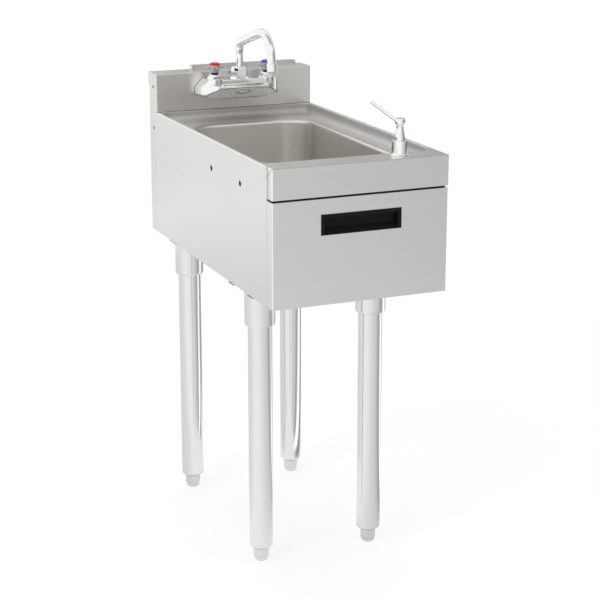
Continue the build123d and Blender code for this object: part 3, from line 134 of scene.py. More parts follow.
class Graph:
    """Short way to build one material's or world's nodes."""

    noise_span: Span = (0.3, 0.7)
    noise_rough = 0.55
    bevel_samples = 6

    def __init__(self, owner: bpy.types.ID) -> None:
        """Empties the owner's node tree.

        Args:
            owner: material or world whose nodes are built.
        """
        owner.use_nodes = True
        self.tree = owner.node_tree
        self.tree.nodes.clear()

    def node(self, kind: str, inputs: dict | None = None, **settings: object) -> bpy.types.Node:
        """Adds one node.

        Args:
            kind: node type's identifier.
            inputs: socket name or number to a value or to another node's output.
            settings: properties of the node itself.

        Returns:
            The new node.
        """
        made = self.tree.nodes.new(kind)
        for name, value in settings.items():
            setattr(made, name, value)
        for name, value in (inputs or {}).items():
            if isinstance(value, Socket):
                self.tree.links.new(value, made.inputs[name])
            else:
                made.inputs[name].default_value = value
        return made

    def place(self) -> Socket:
        """Point of the surface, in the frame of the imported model."""
        return self.node("ShaderNodeTexCoord").outputs["Object"]

    def parts(self, vector: Socket) -> Sequence[Socket]:
        """X, Y and Z of a vector, by name."""
        return self.node("ShaderNodeSeparateXYZ", {0: vector}).outputs

    def vector(self, kind: str, inputs: dict, result: str = "Vector") -> Socket:
        """Works on vectors.

        Args:
            kind: the operation.
            inputs: its vectors, by socket number, and its scale.
            result: name of the output that is read.

        Returns:
            The result.
        """
        return self.node("ShaderNodeVectorMath", inputs, operation=kind).outputs[result]

    def reach(self, vector: Socket) -> Socket:
        """Length of a vector."""
        return self.vector("LENGTH", {0: vector}, "Value")

    def mean(self, first: Socket, second: Socket) -> Socket:
        """Mean of two values."""
        return self.math("MULTIPLY", self.math("ADD", first, second), 0.5)

    def math(self, kind: str, first: Socket | float, second: Socket | float = 0.0, capped: bool = False
             ) -> Socket:
        """Works on two values.

        Args:
            kind: the operation.
            first: its first value.
            second: its second value.
            capped: whether the result stays between 0 and 1.

        Returns:
            The result.
        """
        return self.node("ShaderNodeMath", {0: first, 1: second}, operation=kind, use_clamp=capped).outputs[0]

    def ramp(self, value: Socket, low: float, high: float, span: Span = noise_span) -> Socket:
        """Maps a value's span to two limits.

        Args:
            value: socket to read.
            low: result at the start of the span.
            high: result at its end.
            span: the part of the value that is used.

        Returns:
            The mapped value.
        """
        limits = {"From Min": span[0], "From Max": span[1], "To Min": low, "To Max": high}
        return self.node("ShaderNodeMapRange", {"Value": value, **limits}).outputs["Result"]

    def tint(self, share: Socket, low: Colour | Socket, high: Colour | Socket) -> Socket:
        """Mixes two colours by a value between 0 and 1.

        Args:
            share: share of the second colour.
            low: first colour.
            high: second colour.

        Returns:
            The mixed colour.
        """
        low, high = (paint if isinstance(paint, Socket) else (*paint, 1.0) for paint in (low, high))
        return self.node("ShaderNodeMix", {0: share, 6: low, 7: high}, data_type="RGBA").outputs[2]

    def noise(self, scale: Sequence[float], detail: float = 3.0, roughness: float = noise_rough) -> Socket:
        """Noise in object space, stretched by a scale for each axis.

        Args:
            scale: noise cells to a metre along X, Y and Z.
            detail: octaves of the noise.
            roughness: weight of the fine octaves.

        Returns:
            The noise's value.
        """
        spread = self.vector("MULTIPLY", {0: self.place(), 1: tuple(scale)})
        inputs = {"Vector": spread, "Scale": 1.0, "Detail": detail, "Roughness": roughness}
        return self.node("ShaderNodeTexNoise", inputs).outputs["Fac"]

    def even_noise(self, scale: float, detail: float, roughness: float = noise_rough) -> Socket:
        """Noise with the same scale along every axis."""
        return self.noise((scale, scale, scale), detail, roughness)

    def strokes(self, strokes: Sequence[Stroke]) -> Socket:
        """Mask of fine lines: 1 on a line and 0 away from it.

        Args:
            strokes: the lines.

        Returns:
            The mask.
        """
        place = self.place()
        mask = None
        for stroke in strokes:
            run = Vector(stroke.end) - Vector(stroke.start)
            away = self.vector("SUBTRACT", {0: place, 1: stroke.start})
            dot = self.vector("DOT_PRODUCT", {0: away, 1: tuple(run)}, "Value")
            along = self.math("MULTIPLY", dot, 1.0 / run.length_squared, capped=True)
            foot = self.vector("SCALE", {0: tuple(run), "Scale": along})
            far = self.reach(self.vector("SUBTRACT", {0: away, 1: foot}))
            fade = (stroke.width * stroke.core_share, stroke.width * stroke.fade_share)
            line = self.ramp(far, 1.0, 0.0, fade)
            mask = line if mask is None else self.math("MAXIMUM", mask, line)
        return mask

    def scored(self, under: Socket, base: Colour, strokes: Sequence[Stroke]) -> Socket:
        """Draws lines over a colour, the lightest tone first.

        Args:
            under: the colour without lines.
            base: colour that the lines' tones are shares of.
            strokes: the lines.

        Returns:
            The colour with its lines.
        """
        for tone in sorted({stroke.tone for stroke in strokes}, reverse=True):
            mask = self.strokes([stroke for stroke in strokes if stroke.tone == tone])
            under = self.tint(mask, under, scaled(base, tone))
        return under

    def bump(self, height: Socket, distance: float, fold: float = 0.0) -> Socket:
        """Turns a height into a normal.

        Args:
            height: height, 0 to 1.
            distance: metres between height 0 and 1.
            fold: radius that sharp edges seem rounded to.

        Returns:
            The bumped normal.
        """
        inputs = {"Height": height, "Distance": distance}
        if fold:
            rounded = self.node("ShaderNodeBevel", {"Radius": fold}, samples=self.bevel_samples)
            inputs["Normal"] = rounded.outputs["Normal"]
        return self.node("ShaderNodeBump", inputs).outputs["Normal"]

    def surface(self, kind: str, inputs: dict) -> None:
        """Ends the material in a shader.

        Args:
            kind: the shader node's identifier.
            inputs: what its sockets get.
        """
        self.node("ShaderNodeOutputMaterial", {"Surface": self.node(kind, inputs).outputs[0]})

    def metal(self, colour: Socket, metallic: Socket | float, rough: Socket, normal: Socket) -> None:
        """Ends the material as a metal, whole or in part."""
        inputs = {"Base Color": colour, "Metallic": metallic, "Roughness": rough, "Normal": normal}
        self.surface("ShaderNodeBsdfPrincipled", inputs)


@dataclass(frozen=True)
class Hole:
    """Hole in both sides, filled with a near-black plug that stands in for the shade inside it."""

    y: float
    z: float
    radius: float
    spot_width: float
    spot_tone = 0.01
    spot_run = 0.0001

    def shade_spot(self) -> Stroke:
        """Painted shade: a dark round disc on the left side's sheet, round the plug."""
        start, end = (LEFT_X, self.y, self.z), (LEFT_X, self.y + self.spot_run, self.z)
        return Stroke(start, end, self.spot_width, self.spot_tone)


PANEL_HOLES = tuple(Hole(y, 0.683, 0.004, 0.0094) for y in (-0.1668, -0.0318))
STRIP_HOLES = tuple(Hole(0.2778, z, 0.0025, 0.0062) for z in (0.777, 0.701))


def both_sides(*strokes: Stroke) -> tuple[Stroke, ...]:
    """Lines of the left side together with their mirror images."""
    return (*strokes, *(stroke.mirrored() for stroke in strokes))


def traced(start: Point, *stops: tuple[Point, float, float]) -> list[Stroke]:
    """Lines from point to point.

    Args:
        start: the first point.
        stops: each next point, with the width and the tone of the line that leads to it.

    Returns:
        The lines.
    """
    strokes = []
    for end, width, tone in stops:
        strokes.append(Stroke(start, end, width, tone))
        start = end
    return strokes


@dataclass(frozen=True)
class SheetLines:
    """Ground seams, painted highlights along edges, and painted shade round the plugged holes, that the
    finishes of the sheets draw.

    A mitre is ground at each front corner of the rim, and the cap is a painted highlight along the rim beside
    it.
    The nick lies between the cap and the side panel's rim, the fold is the upright of the corner, the brink
    is the front edge of the top, and the joint is where the splash stands on the top. The painted glint is
    the tone of the painted highlights along the rims and folds.
    """

    painted_glint: float = 1.32
    mitre_run: float = 0.026
    mitre_drop: float = 0.019
    nick: float = 0.0038
    nick_run: float = 0.0052
    nick_width: float = 0.0018
    rim_width: float = 0.0034
    cap_front: float = 0.0018
    cap_back: float = 0.0042
    cap_width: float = 0.003
    fold_in: float = 0.0006
    fold_width: float = 0.0026
    brink_width: float = 0.0015
    brink_tone: float = 0.62
    joint_width: float = 0.0012
    joint_tone: float = 0.3

    def rims(self) -> tuple[Stroke, ...]:
        """Mitre, nick, and painted highlights along both side rims.

        Returns:
            The lines.
        """
        nick_y = PANEL_Y + self.nick
        cap_start, cap_end = FRONT_Y + self.cap_front, PANEL_Y - self.cap_back
        # The rim and cap lines are painted highlights; the mitre and nick are dark seams.
        return both_sides(
            Stroke((LEFT_X, FRONT_Y, RIM_Z), (LEFT_X, FRONT_Y + self.mitre_run, RIM_Z - self.mitre_drop)),
            Stroke((LEFT_X, PANEL_Y, RIM_Z - self.nick), (LEFT_X, PANEL_Y, RIM_Z), self.nick_width),
            Stroke((LEFT_X, nick_y, RIM_Z), (LEFT_X, SPLASH_Y, RIM_Z), self.rim_width, self.painted_glint),
            Stroke((LEFT_X, cap_start, RIM_Z), (LEFT_X, cap_end, RIM_Z), self.cap_width, self.painted_glint),
        )

    def folds(self) -> tuple[Stroke, ...]:
        """Painted highlights along the upright folds of both front corners."""
        x, y = LEFT_X + HAIR, FRONT_Y + self.fold_in
        return both_sides(Stroke((x, y, FOOT_Z), (x, y, RIM_Z - HAIR), self.fold_width, self.painted_glint))

    def side(self) -> tuple[Stroke, ...]:
        """Lines of the side panels, with painted shade round their holes."""
        return self.rims() + both_sides(*(hole.shade_spot() for hole in PANEL_HOLES))

    def top(self) -> tuple[Stroke, ...]:
        """Rims, folds, nicks and front edge of the top.

        Returns:
            The lines.
        """
        nick = Stroke((LEFT_X, PANEL_Y, RIM_Z), (LEFT_X + self.nick_run, PANEL_Y, RIM_Z), self.nick_width)
        z = RIM_Z - HAIR
        brink = Stroke((LEFT_X, FRONT_Y, z), (0.0, FRONT_Y, z), self.brink_width, self.brink_tone)
        return self.rims() + self.folds() + both_sides(nick, brink)

    def splash(self) -> tuple[Stroke, ...]:
        """Joint of the splash with the top, and painted shade round the holes of its strips.

        Returns:
            The lines.
        """
        z = RIM_Z + HAIR
        joint = Stroke((LEFT_X, SPLASH_Y, z), (0.0, SPLASH_Y, z), self.joint_width, self.joint_tone)
        return both_sides(joint, *(hole.shade_spot() for hole in STRIP_HOLES))


@dataclass(frozen=True)
class CastingFace:
    """Sloping front face of the faucet's casting, from its brow down to its keel."""

    brow: tuple[float, float] = (0.204, 0.777)
    keel: tuple[float, float] = (0.2317, 0.7525)

    def down(self) -> Vector:
        """Direction down the face."""
        return Vector((0.0, self.keel[0] - self.brow[0], self.keel[1] - self.brow[1])).normalized()

    def out(self) -> Vector:
        """Direction that the face looks in."""
        down = self.down()
        return Vector((0.0, down.z, -down.y))

    def lines(self) -> tuple[Stroke, ...]:
        """Painted dark reflections along the casting's brow, its rounded ends and its keel.

        Returns:
            The lines.
        """
        brow = traced(
            (0.0, *self.brow),
            ((-0.030, 0.2052, 0.776), 0.0016, 0.25),
            ((-0.048, 0.207, 0.7743), 0.0016, 0.25),
            ((-0.060, 0.213, 0.769), 0.0018, 0.25),
            ((-0.0697, 0.2205, 0.7635), 0.0022, 0.25),
        )
        end = traced(
            (-0.0697, 0.2205, 0.763),
            ((-0.0756, 0.229, 0.762), 0.0046, 0.42),
            ((-0.079, 0.240, 0.762), 0.0050, 0.46),
            ((-0.079, 0.256, 0.763), 0.0046, 0.5),
        )
        keel = traced((0.0, 0.2289, 0.755), ((-0.060, 0.2289, 0.755), 0.0022, 0.35))
        return both_sides(*brow, *end, *keel)


LINES = SheetLines()
CASTING_FACE = CastingFace()


@dataclass(frozen=True)
class RecessShade:
    """Recessed part of a sheet: painted shade that darkens it, darkest on the walls near its rim, with a
    rougher, less metallic finish.
    """

    front_y: float = -0.29
    rim_z: float = RIM_Z - HAIR
    floor_z: float = 0.714
    edge: float = 0.0008
    front_edge: float = 0.001
    floor_tone: float = 0.62
    wall_tone: float = 0.6
    rougher: float = 0.1
    metal: float = 0.45

    def lay(self, graph: Graph, colour: Socket, rough: Socket) -> tuple[Socket, Socket, Socket]:
        """Lays the painted shade and the rougher, less metallic finish over the recessed part of the sheet.

        Args:
            graph: nodes of the finish.
            colour: colour of the sheet.
            rough: roughness of the sheet.

        Returns:
            The colour, the roughness and the metallic share of both parts.
        """
        place = graph.parts(graph.place())
        below = graph.ramp(place["Z"], 1.0, 0.0, (self.rim_z - self.edge, self.rim_z))
        behind = graph.ramp(place["Y"], 0.0, 1.0, (self.front_y - self.front_edge, self.front_y))
        share = graph.math("MULTIPLY", below, behind)
        wall = graph.ramp(place["Z"], 0.0, 1.0, (self.floor_z, self.rim_z))
        # Painted shade: darker steel colour in the recess, darkest near the rim.
        recess_shade_colour = graph.tint(wall, scaled(WARM_STEEL, self.floor_tone), scaled(WARM_STEEL, self.wall_tone))
        rough = graph.math("ADD", rough, graph.math("MULTIPLY", share, self.rougher))
        return graph.tint(share, colour, recess_shade_colour), rough, graph.ramp(share, 1.0, self.metal, UNIT_SPAN)


@dataclass(frozen=True)
class Satin:
    """Matt face of a plated casting, told by the way it faces."""

    facing: Point
    span: Span = (0.9, 0.97)
    metal: float = 0.15
    rougher: float = 0.2
    colour: Colour = (0.86, 0.85, 0.83)

    def lay(self, graph: Graph, colour: Socket, rough: Socket) -> tuple[Socket, Socket, Socket]:
        """Lays the matt face over the plating.

        Args:
            graph: nodes of the finish.
            colour: colour of the plating.
            rough: roughness of the plating.

        Returns:
            The colour, the roughness and the metallic share of both.
        """
        normal = graph.node("ShaderNodeNewGeometry").outputs["True Normal"]
        lean = graph.vector("DOT_PRODUCT", {0: normal, 1: self.facing}, "Value")
        share = graph.ramp(lean, 0.0, 1.0, self.span)
        rough = graph.math("ADD", rough, graph.math("MULTIPLY", share, self.rougher))
        return graph.tint(share, colour, self.colour), rough, graph.ramp(share, 1.0, self.metal, UNIT_SPAN)


class Grain(Enum):
    """Direction in which a sheet was brushed, as the scale of its noise along X, Y and Z."""

    ALONG_X = (4.0, 1100.0, 1100.0)
    ALONG_Y = (1100.0, 4.0, 1100.0)
    ALONG_Z = (1100.0, 1100.0, 4.0)
    SATIN = (700.0, 700.0, 700.0)


@dataclass(frozen=True)
class BrushedSteel:
    """Stainless steel with a fine grain, long faint streaks, hand marks and rounded folds."""

    name: str
    grain: Grain
    colour: Colour = STEEL
    gloss: float = 0.3
    spread: float = 0.03
    streak: float = 0.02
    depth: float = 0.000006
    fold: float = 0.0018
    strokes: tuple[Stroke, ...] = ()
    sunk: RecessShade | None = None
    broad_share = 0.16
    mark_scale = 6.0
    line_span = (0.25, 0.75)

    def make(self) -> bpy.types.Material:
        """Builds the finish.

        Returns:
            The material.
        """
        material = bpy.data.materials.new(self.name)
        graph = Graph(material)
        fine = graph.noise(self.grain.value)
        broad = graph.noise([scale * self.broad_share for scale in self.grain.value])
        marks = graph.even_noise(self.mark_scale, detail=4.0, roughness=0.5)
        lines = graph.mean(fine, broad)
        tone = graph.ramp(lines, 0.0, 1.0, self.line_span)
        dark, light = scaled(self.colour, 1.0 - self.streak), scaled(self.colour, 1.0 + self.streak)
        colour = graph.tint(tone, dark, light)
        rough = graph.ramp(lines, self.gloss - self.spread, self.gloss + self.spread)
        rough = graph.math("ADD", rough, graph.ramp(marks, -self.spread / 2, self.spread / 2))
        metal = 1.0
        # The recess gets painted shade, and a rougher, less metallic finish.
        if self.sunk:
            colour, rough, metal = self.sunk.lay(graph, colour, rough)
        # Lines drawn over the colour: seams, painted highlights along edges and painted shade round holes.
        colour = graph.scored(colour, self.colour, self.strokes)
        graph.metal(colour, metal, rough, graph.bump(fine, self.depth, self.fold))
        return material


@dataclass(frozen=True)
class PlatedMetal:
    """Smooth plated or turned metal with fine wipe marks."""

    name: str
    colour: Colour = (0.92, 0.925, 0.93)
    gloss: Span = (0.04, 0.08)
    depth: float = 0.000001
    fold: float = 0.0005
    strokes: tuple[Stroke, ...] = ()
    satin: Satin | None = None
    film_scale = 90.0
    wipe_scale = (30.0, 30.0, 700.0)
    thin_film = 0.97
    thick_film = 1.02

    def make(self) -> bpy.types.Material:
        """Builds the finish.

        Returns:
            The material.
        """
        material = bpy.data.materials.new(self.name)
        graph = Graph(material)
        film = graph.even_noise(self.film_scale, detail=4.0, roughness=0.6)
        wipe = graph.noise(self.wipe_scale, detail=2.0)
        rough = graph.ramp(film, *self.gloss)
        thin, thick = scaled(self.colour, self.thin_film), scaled(self.colour, self.thick_film)
        colour = graph.tint(graph.ramp(film, 0.0, 1.0), thin, thick)
        metal = 1.0
        if self.satin:
            colour, rough, metal = self.satin.lay(graph, colour, rough)
        colour = graph.scored(colour, self.colour, self.strokes)
        graph.metal(colour, metal, rough, graph.bump(wipe, self.depth, self.fold))
        return material


@dataclass(frozen=True)
class Moulded:
    """Plastic, rubber or enamel with a fine skin grain."""

    name: str
    colour: Colour
    gloss: Span = (0.35, 0.5)
    grain: float = 1400.0
    depth: float = 0.00002
    shine: float = 0.5
    clear: float = 0.0
    cloud_scale = 40.0
    dark_cloud = 0.9
    light_cloud = 1.08

    def make(self) -> bpy.types.Material:
        """Builds the finish.

        Returns:
            The material.
        """
        material = bpy.data.materials.new(self.name)
        graph = Graph(material)
        skin = graph.even_noise(self.grain, detail=2.0)
        cloud = graph.even_noise(self.cloud_scale, detail=4.0)
        dark, light = scaled(self.colour, self.dark_cloud), scaled(self.colour, self.light_cloud)
        inputs = {
            "Base Color": graph.tint(graph.ramp(cloud, 0.0, 1.0), dark, light),
            "Roughness": graph.ramp(cloud, *self.gloss),
            "Specular IOR Level": self.shine,
            "Transmission Weight": self.clear,
            "Normal": graph.bump(skin, self.depth),
        }
        graph.surface("ShaderNodeBsdfPrincipled", inputs)
        return material


class Finish(Enum):
    """Every finish of the sink, with what makes it."""

    # The sheets' strokes include painted highlights along rims and folds, and painted shade round the holes.
    SIDE = BrushedSteel("side_sheet", Grain.ALONG_Y, fold=0.0004, strokes=LINES.side())
    FRONT = BrushedSteel(
        "front_sheet", Grain.ALONG_X, scaled(STEEL, 1.02), spread=0.02, streak=0.01, depth=0.000003,
        fold=0.0012, strokes=LINES.folds(),
    )
    # The top carries painted highlights on its rims and folds, and painted shade in its recess.
    TOP = BrushedSteel("top_sheet", Grain.ALONG_X, strokes=LINES.top(), sunk=RecessShade())
    BOWL = BrushedSteel("bowl_sheet", Grain.SATIN, scaled(WARM_STEEL, 1.07), spread=0.012, streak=0.008)
    SPLASH = BrushedSteel("splash_sheet", Grain.ALONG_X, scaled(WARM_STEEL, 1.04), strokes=LINES.splash())
    LIP = BrushedSteel("lip_angle", Grain.ALONG_X, WARM_STEEL, fold=0.0004)
    # Darker than the other steel: painted shade under the box.
    CHANNEL = BrushedSteel("channel_painted_shade", Grain.SATIN, scaled(STEEL, 0.6), gloss=0.36, fold=0.0003)
    TRAY = BrushedSteel("tray_sheet", Grain.ALONG_Y, scaled(STEEL, 0.95), gloss=0.34, fold=0.0006)
    LEG = BrushedSteel(
        "leg_tube_steel", Grain.ALONG_Z, scaled(STEEL, 1.06), gloss=0.085, spread=0.015, streak=0.01,
        depth=0.0000006,
    )
    SOCKET = BrushedSteel(
        "socket_steel", Grain.SATIN, scaled(STEEL, 1.05), gloss=0.1, spread=0.015, streak=0.01,
        depth=0.000001,
    )
    FASTENER = BrushedSteel("fastener_steel", Grain.SATIN, scaled(STEEL, 0.85), fold=0.0003)
    FOOT = BrushedSteel("foot_alloy", Grain.SATIN, scaled(STEEL, 0.95), gloss=0.34)
    WELD = BrushedSteel(
        "weld_bead", Grain.SATIN, scaled(STEEL, 0.8), spread=0.08, streak=0.12, depth=0.00006, fold=0.0,
    )
    CHROME = PlatedMetal("bright_chrome")
    # The casting's strokes are painted dark reflections along its edges.
    CASTING = PlatedMetal(
        "cast_chrome", gloss=(0.05, 0.1), fold=0.0025, strokes=CASTING_FACE.lines(),
        satin=Satin(tuple(CASTING_FACE.out())),
    )
    HANDLE = PlatedMetal("handle_chrome", (0.52, 0.52, 0.515), (0.06, 0.16), 0.00001)
    DRAIN = PlatedMetal("drain_chrome", grey(0.78), (0.14, 0.2))
    BRASS = PlatedMetal("turned_brass", (0.71, 0.56, 0.29), (0.22, 0.32), 0.00002)
    WIRE = PlatedMetal("spring_wire", grey(0.6), (0.2, 0.3))
    PULL = Moulded("pull_black", grey(0.006), (0.42, 0.55), shine=0.12)
    BLACK = Moulded("collar_black", grey(0.008), (0.3, 0.42), shine=0.2)
    SHADE = Moulded("rim_shade", grey(0.03), (0.4, 0.55), shine=0.3)
    # Near-black finish that stands in for the shade inside the holes.
    HOLE_SHADE = Moulded("hole_shade_black", grey(0.002), (0.8, 0.9), shine=0.0)
    RED = Moulded("index_red", (0.58, 0.003, 0.004), (0.12, 0.2), 2500.0, 0.000003, 0.3)
    BLUE = Moulded("index_blue", (0.004, 0.075, 0.44), (0.12, 0.2), 2500.0, 0.000003, 0.3)
    RUBBER = Moulded("gasket_rubber", grey(0.02), (0.6, 0.8), shine=0.25)
    BOTTLE = Moulded("bottle_plastic", (0.82, 0.82, 0.78), (0.3, 0.42), clear=0.25)
    PUMP = Moulded("pump_plastic", grey(0.82), (0.3, 0.42))


class PaintShop:
    """Makes each finish once, and gives it to the CAD nodes."""

    def __init__(self) -> None:
        """Makes every finish."""
        self.made = {finish: finish.value.make() for finish in Finish}

    def dress(self, finish: Finish, *nodes: str) -> None:
        """Gives CAD nodes a finish.

        Args:
            finish: the finish.
            nodes: names of the CAD nodes.
        """
        for name in nodes:
            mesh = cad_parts[name].data
            mesh.materials.clear()
            mesh.materials.append(self.made[finish])


class Form:
    """Points and faces of the small fittings."""

    @staticmethod
    def turned(profile: Sequence[Span], place: Point, steps: int, axis: Point = UP) -> Shape:
        """Turned form.

        Args:
            profile: radius and height of each point, from one end to the other.
            place: point that height 0 has on the axis.
            steps: number of faces round the axis.
            axis: direction of the axis.

        Returns:
            Its points and faces.
        """
        turn = Vector(axis).to_track_quat("Z", "Y").to_matrix()
        rows = len(profile)
        verts, faces = [], []
        for index in range(steps):
            angle = math.tau * index / steps
            for radius, height in profile:
                point = Vector((radius * math.cos(angle), radius * math.sin(angle), height))
                verts.append(tuple(turn @ point + Vector(place)))
            here, there = index * rows, (index + 1) % steps * rows
            faces += [(here + row, there + row, there + row + 1, here + row + 1) for row in range(rows - 1)]
        return verts, faces

    @staticmethod
    def drawn(outline: Sequence[Span], low: float, high: float) -> Shape:
        """Strip that runs along X.

        Args:
            outline: Y and Z of its section's points, in order.
            low: its first X.
            high: its last X.

        Returns:
            Its points and faces.
        """
        count = len(outline)
        verts = [(x, y, z) for x in (low, high) for y, z in outline]
        faces = [(i, (i + 1) % count, count + (i + 1) % count, count + i) for i in range(count)]
        faces += [tuple(range(count)), tuple(range(count, 2 * count))]
        return verts, faces

    @staticmethod
    def helix(foot: Vector, across: Vector, aside: Vector, rise: Vector, turns: float, steps: int
              ) -> list[Vector]:
        """Path of a helix.

        Args:
            foot: centre of its first turn.
            across: from the foot to the first point.
            aside: from the foot to the point a quarter turn later.
            rise: from the foot to the centre of its last turn.
            turns: number of turns.
            steps: points to a turn.

        Returns:
            Its points.
        """
        count = round(turns * steps)
        path = []
        for index in range(count + 1):
            angle = math.tau * turns * index / count
            path.append(foot + across * math.cos(angle) + aside * math.sin(angle) + rise * (index / count))
        return path

    @staticmethod
    def wire(path: Sequence[Vector], radius: float, closed: bool = False, sides: int = 10) -> Shape:
        """Round wire along a path.

        Args:
            path: points that it follows.
            radius: its radius.
            closed: whether its ends join.
            sides: number of faces round it.

        Returns:
            Its points and faces.
        """
        count = len(path)
        verts, faces = [], []
        normal = None
        for index, point in enumerate(path):
            after = path[(index + 1) % count] if closed or index < count - 1 else point
            before = path[index - 1] if closed or index else point
            along = (after - before).normalized()
            if normal is None:
                normal = along.orthogonal().normalized()
            normal = (normal - along * normal.dot(along)).normalized()
            across = along.cross(normal)
            for side in range(sides):
                angle = math.tau * side / sides
                verts.append(tuple(point + radius * (normal * math.cos(angle) + across * math.sin(angle))))
        for index in range(count if closed else count - 1):
            here, there = index * sides, (index + 1) % count * sides
            for side in range(sides):
                after = (side + 1) % sides
                faces.append((here + side, here + after, there + after, there + side))
        if not closed:
            faces += [tuple(range(sides)), tuple(range(len(verts) - sides, len(verts)))]
        return verts, faces


@dataclass
class SubAssembly:
    """Sub-assembly of the sink, with the paint shop that serves it."""

    shop: PaintShop
    merge_distance = 0.000001
    sharp_degrees = 40.0

    def dress(self) -> None:
        """Gives the sub-assembly its finishes and its small fittings."""
        raise NotImplementedError

    def add(self, name: str, shape: Shape, finish: Finish, slot: str, body: str = ROOT, smooth: bool = True
            ) -> bpy.types.Object:
        """Makes one small fitting.

        Args:
            name: name of the piece.
            shape: its points and faces.
            finish: its finish.
            slot: material slot of the record that its finish stands for; not used.
            body: CAD body that it rides on.
            smooth: whether its faces are shaded as one surface.

        Returns:
            The piece.
        """
        verts, faces = shape
        mesh = bpy.data.meshes.new(name)
        mesh.from_pydata(verts, [], faces)
        work = bmesh.new()
        work.from_mesh(mesh)
        bmesh.ops.remove_doubles(work, verts=work.verts, dist=self.merge_distance)
        bmesh.ops.recalc_face_normals(work, faces=work.faces)
        work.to_mesh(mesh)
        work.free()
        mesh.materials.append(self.shop.made[finish])
        made = bpy.data.objects.new(name, mesh)
        bpy.context.scene.collection.objects.link(made)
        if smooth:
            mesh.shade_smooth()
            mesh.set_sharp_from_angle(angle=math.radians(self.sharp_degrees))
        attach(made, body)
        LOG.info("piece %s on %s", name, body)
        return made


@dataclass
class Cabinet(SubAssembly):
    """Sheet metal box: top, side panels, splash, lip bracket and cross channels.

    The seal, a near-black strip that stands in for the shade inside the slit, is measured from the front, and
    over and under the foot of the apron.
    """

    sheet: float = 0.0012
    plug_skin: float = 0.0003
    plug_face_share: float = 0.8
    plug_flange_share: float = 1.4
    plug_steps: int = 32
    seam_skin: float = 0.0001
    seam_gap: float = 0.00001
    seam_depth: float = 0.0005
    seal_end: float = 0.0014
    seal_front: float = 0.006
    seal_step: float = 0.0075
    seal_back: float = 0.0105
    seal_over: float = 0.0016
    seal_under: float = 0.0139

    def dress(self) -> None:
        """Gives the sheets their finishes, and adds the seam beads and the near-black plugs and seal that
        stand in for the shade in the holes and the slit.
        """
        self.shop.dress(Finish.TOP, "sink_top")
        self.shop.dress(Finish.SIDE, "left_side_panel", "right_side_panel")
        self.shop.dress(Finish.SPLASH, "backsplash")
        self.shop.dress(Finish.LIP, "rear_lip_bracket")
        self.shop.dress(Finish.CHANNEL, "front_cross_channel", "rear_cross_channel")
        for word, side in SIDES:
            self.shade_holes_with_plugs(word, side)
            self.fill_seam(word, side)
        self.shade_slit_with_seal()

    def shade_holes_with_plugs(self, word: str, side: int) -> None:
        """Fills the holes of one side with sunk near-black plugs that stand in for the shade inside them.

        Args:
            word: name of the side.
            side: sign of its X.
        """
        skin, sheet = self.plug_skin, self.sheet
        for index, hole in enumerate(PANEL_HOLES + STRIP_HOLES):
            face, flange = hole.radius * self.plug_face_share, hole.radius * self.plug_flange_share
            profile = [
                (0.0, -skin), (face, -skin), (hole.radius, -2 * skin), (hole.radius, -sheet),
                (flange, -sheet), (flange, -2 * sheet), (0.0, -2 * sheet),
            ]
            place, out = (-side * LEFT_X, hole.y, hole.z), (side, 0.0, 0.0)
            shape = Form.turned(profile, place, self.plug_steps, out)
            # The plug is near-black: it stands in for the shade inside the hole.
            self.add(f"{word}_hole_shade_plug_{index}", shape, Finish.HOLE_SHADE, "gasket_rubber")

    def fill_seam(self, word: str, side: int) -> None:
        """Fills the seam between one side panel and the drawer's front with a steel bead.

        Args:
            word: name of the side.
            side: sign of its X.
        """
        front, back = PANEL_Y + self.seam_gap, PANEL_Y + self.seam_depth
        low, high = FOOT_Z + HAIR, APRON_Z - HAIR
        inner, outer = -LEFT_X - self.sheet, -LEFT_X - self.seam_skin
        outline = [(front, low), (back, low), (back, high), (front, high)]
        shape = Form.drawn(outline, side * inner, side * outer)
        self.add(f"{word}_seam_bead", shape, Finish.SIDE, "sheet_steel", smooth=False)

    def shade_slit_with_seal(self) -> None:
        """Hangs a near-black rubber strip in the slit over the drawer, standing in for the shade inside the
        slit.
        """
        front, step, back = (FRONT_Y + reach for reach in (self.seal_front, self.seal_step, self.seal_back))
        high, low = APRON_Z + self.seal_over, APRON_Z - self.seal_under
        outline = [(front, APRON_Z), (front, high), (back, high), (back, low), (step, low), (step, APRON_Z)]
        half = -LEFT_X - self.sheet - self.seal_end
        # Near-black strip: stands in for the shade inside the slit.
        self.add("slit_shade_seal", Form.drawn(outline, -half, half), Finish.RUBBER, "gasket_rubber", smooth=False)


@dataclass
class Basin(SubAssembly):
    """Bowl with its drain and lift-out basket."""

    def dress(self) -> None:
        """Gives the bowl and the drain their finishes."""
        self.shop.dress(Finish.BOWL, "sink_bowl")
        self.shop.dress(Finish.DRAIN, "drain_body", "drain_tailpiece", "drain_basket")
        self.shop.dress(Finish.BRASS, "drain_locknut", "tailpiece_nut")
        self.shop.dress(Finish.RUBBER, "drain_gasket")


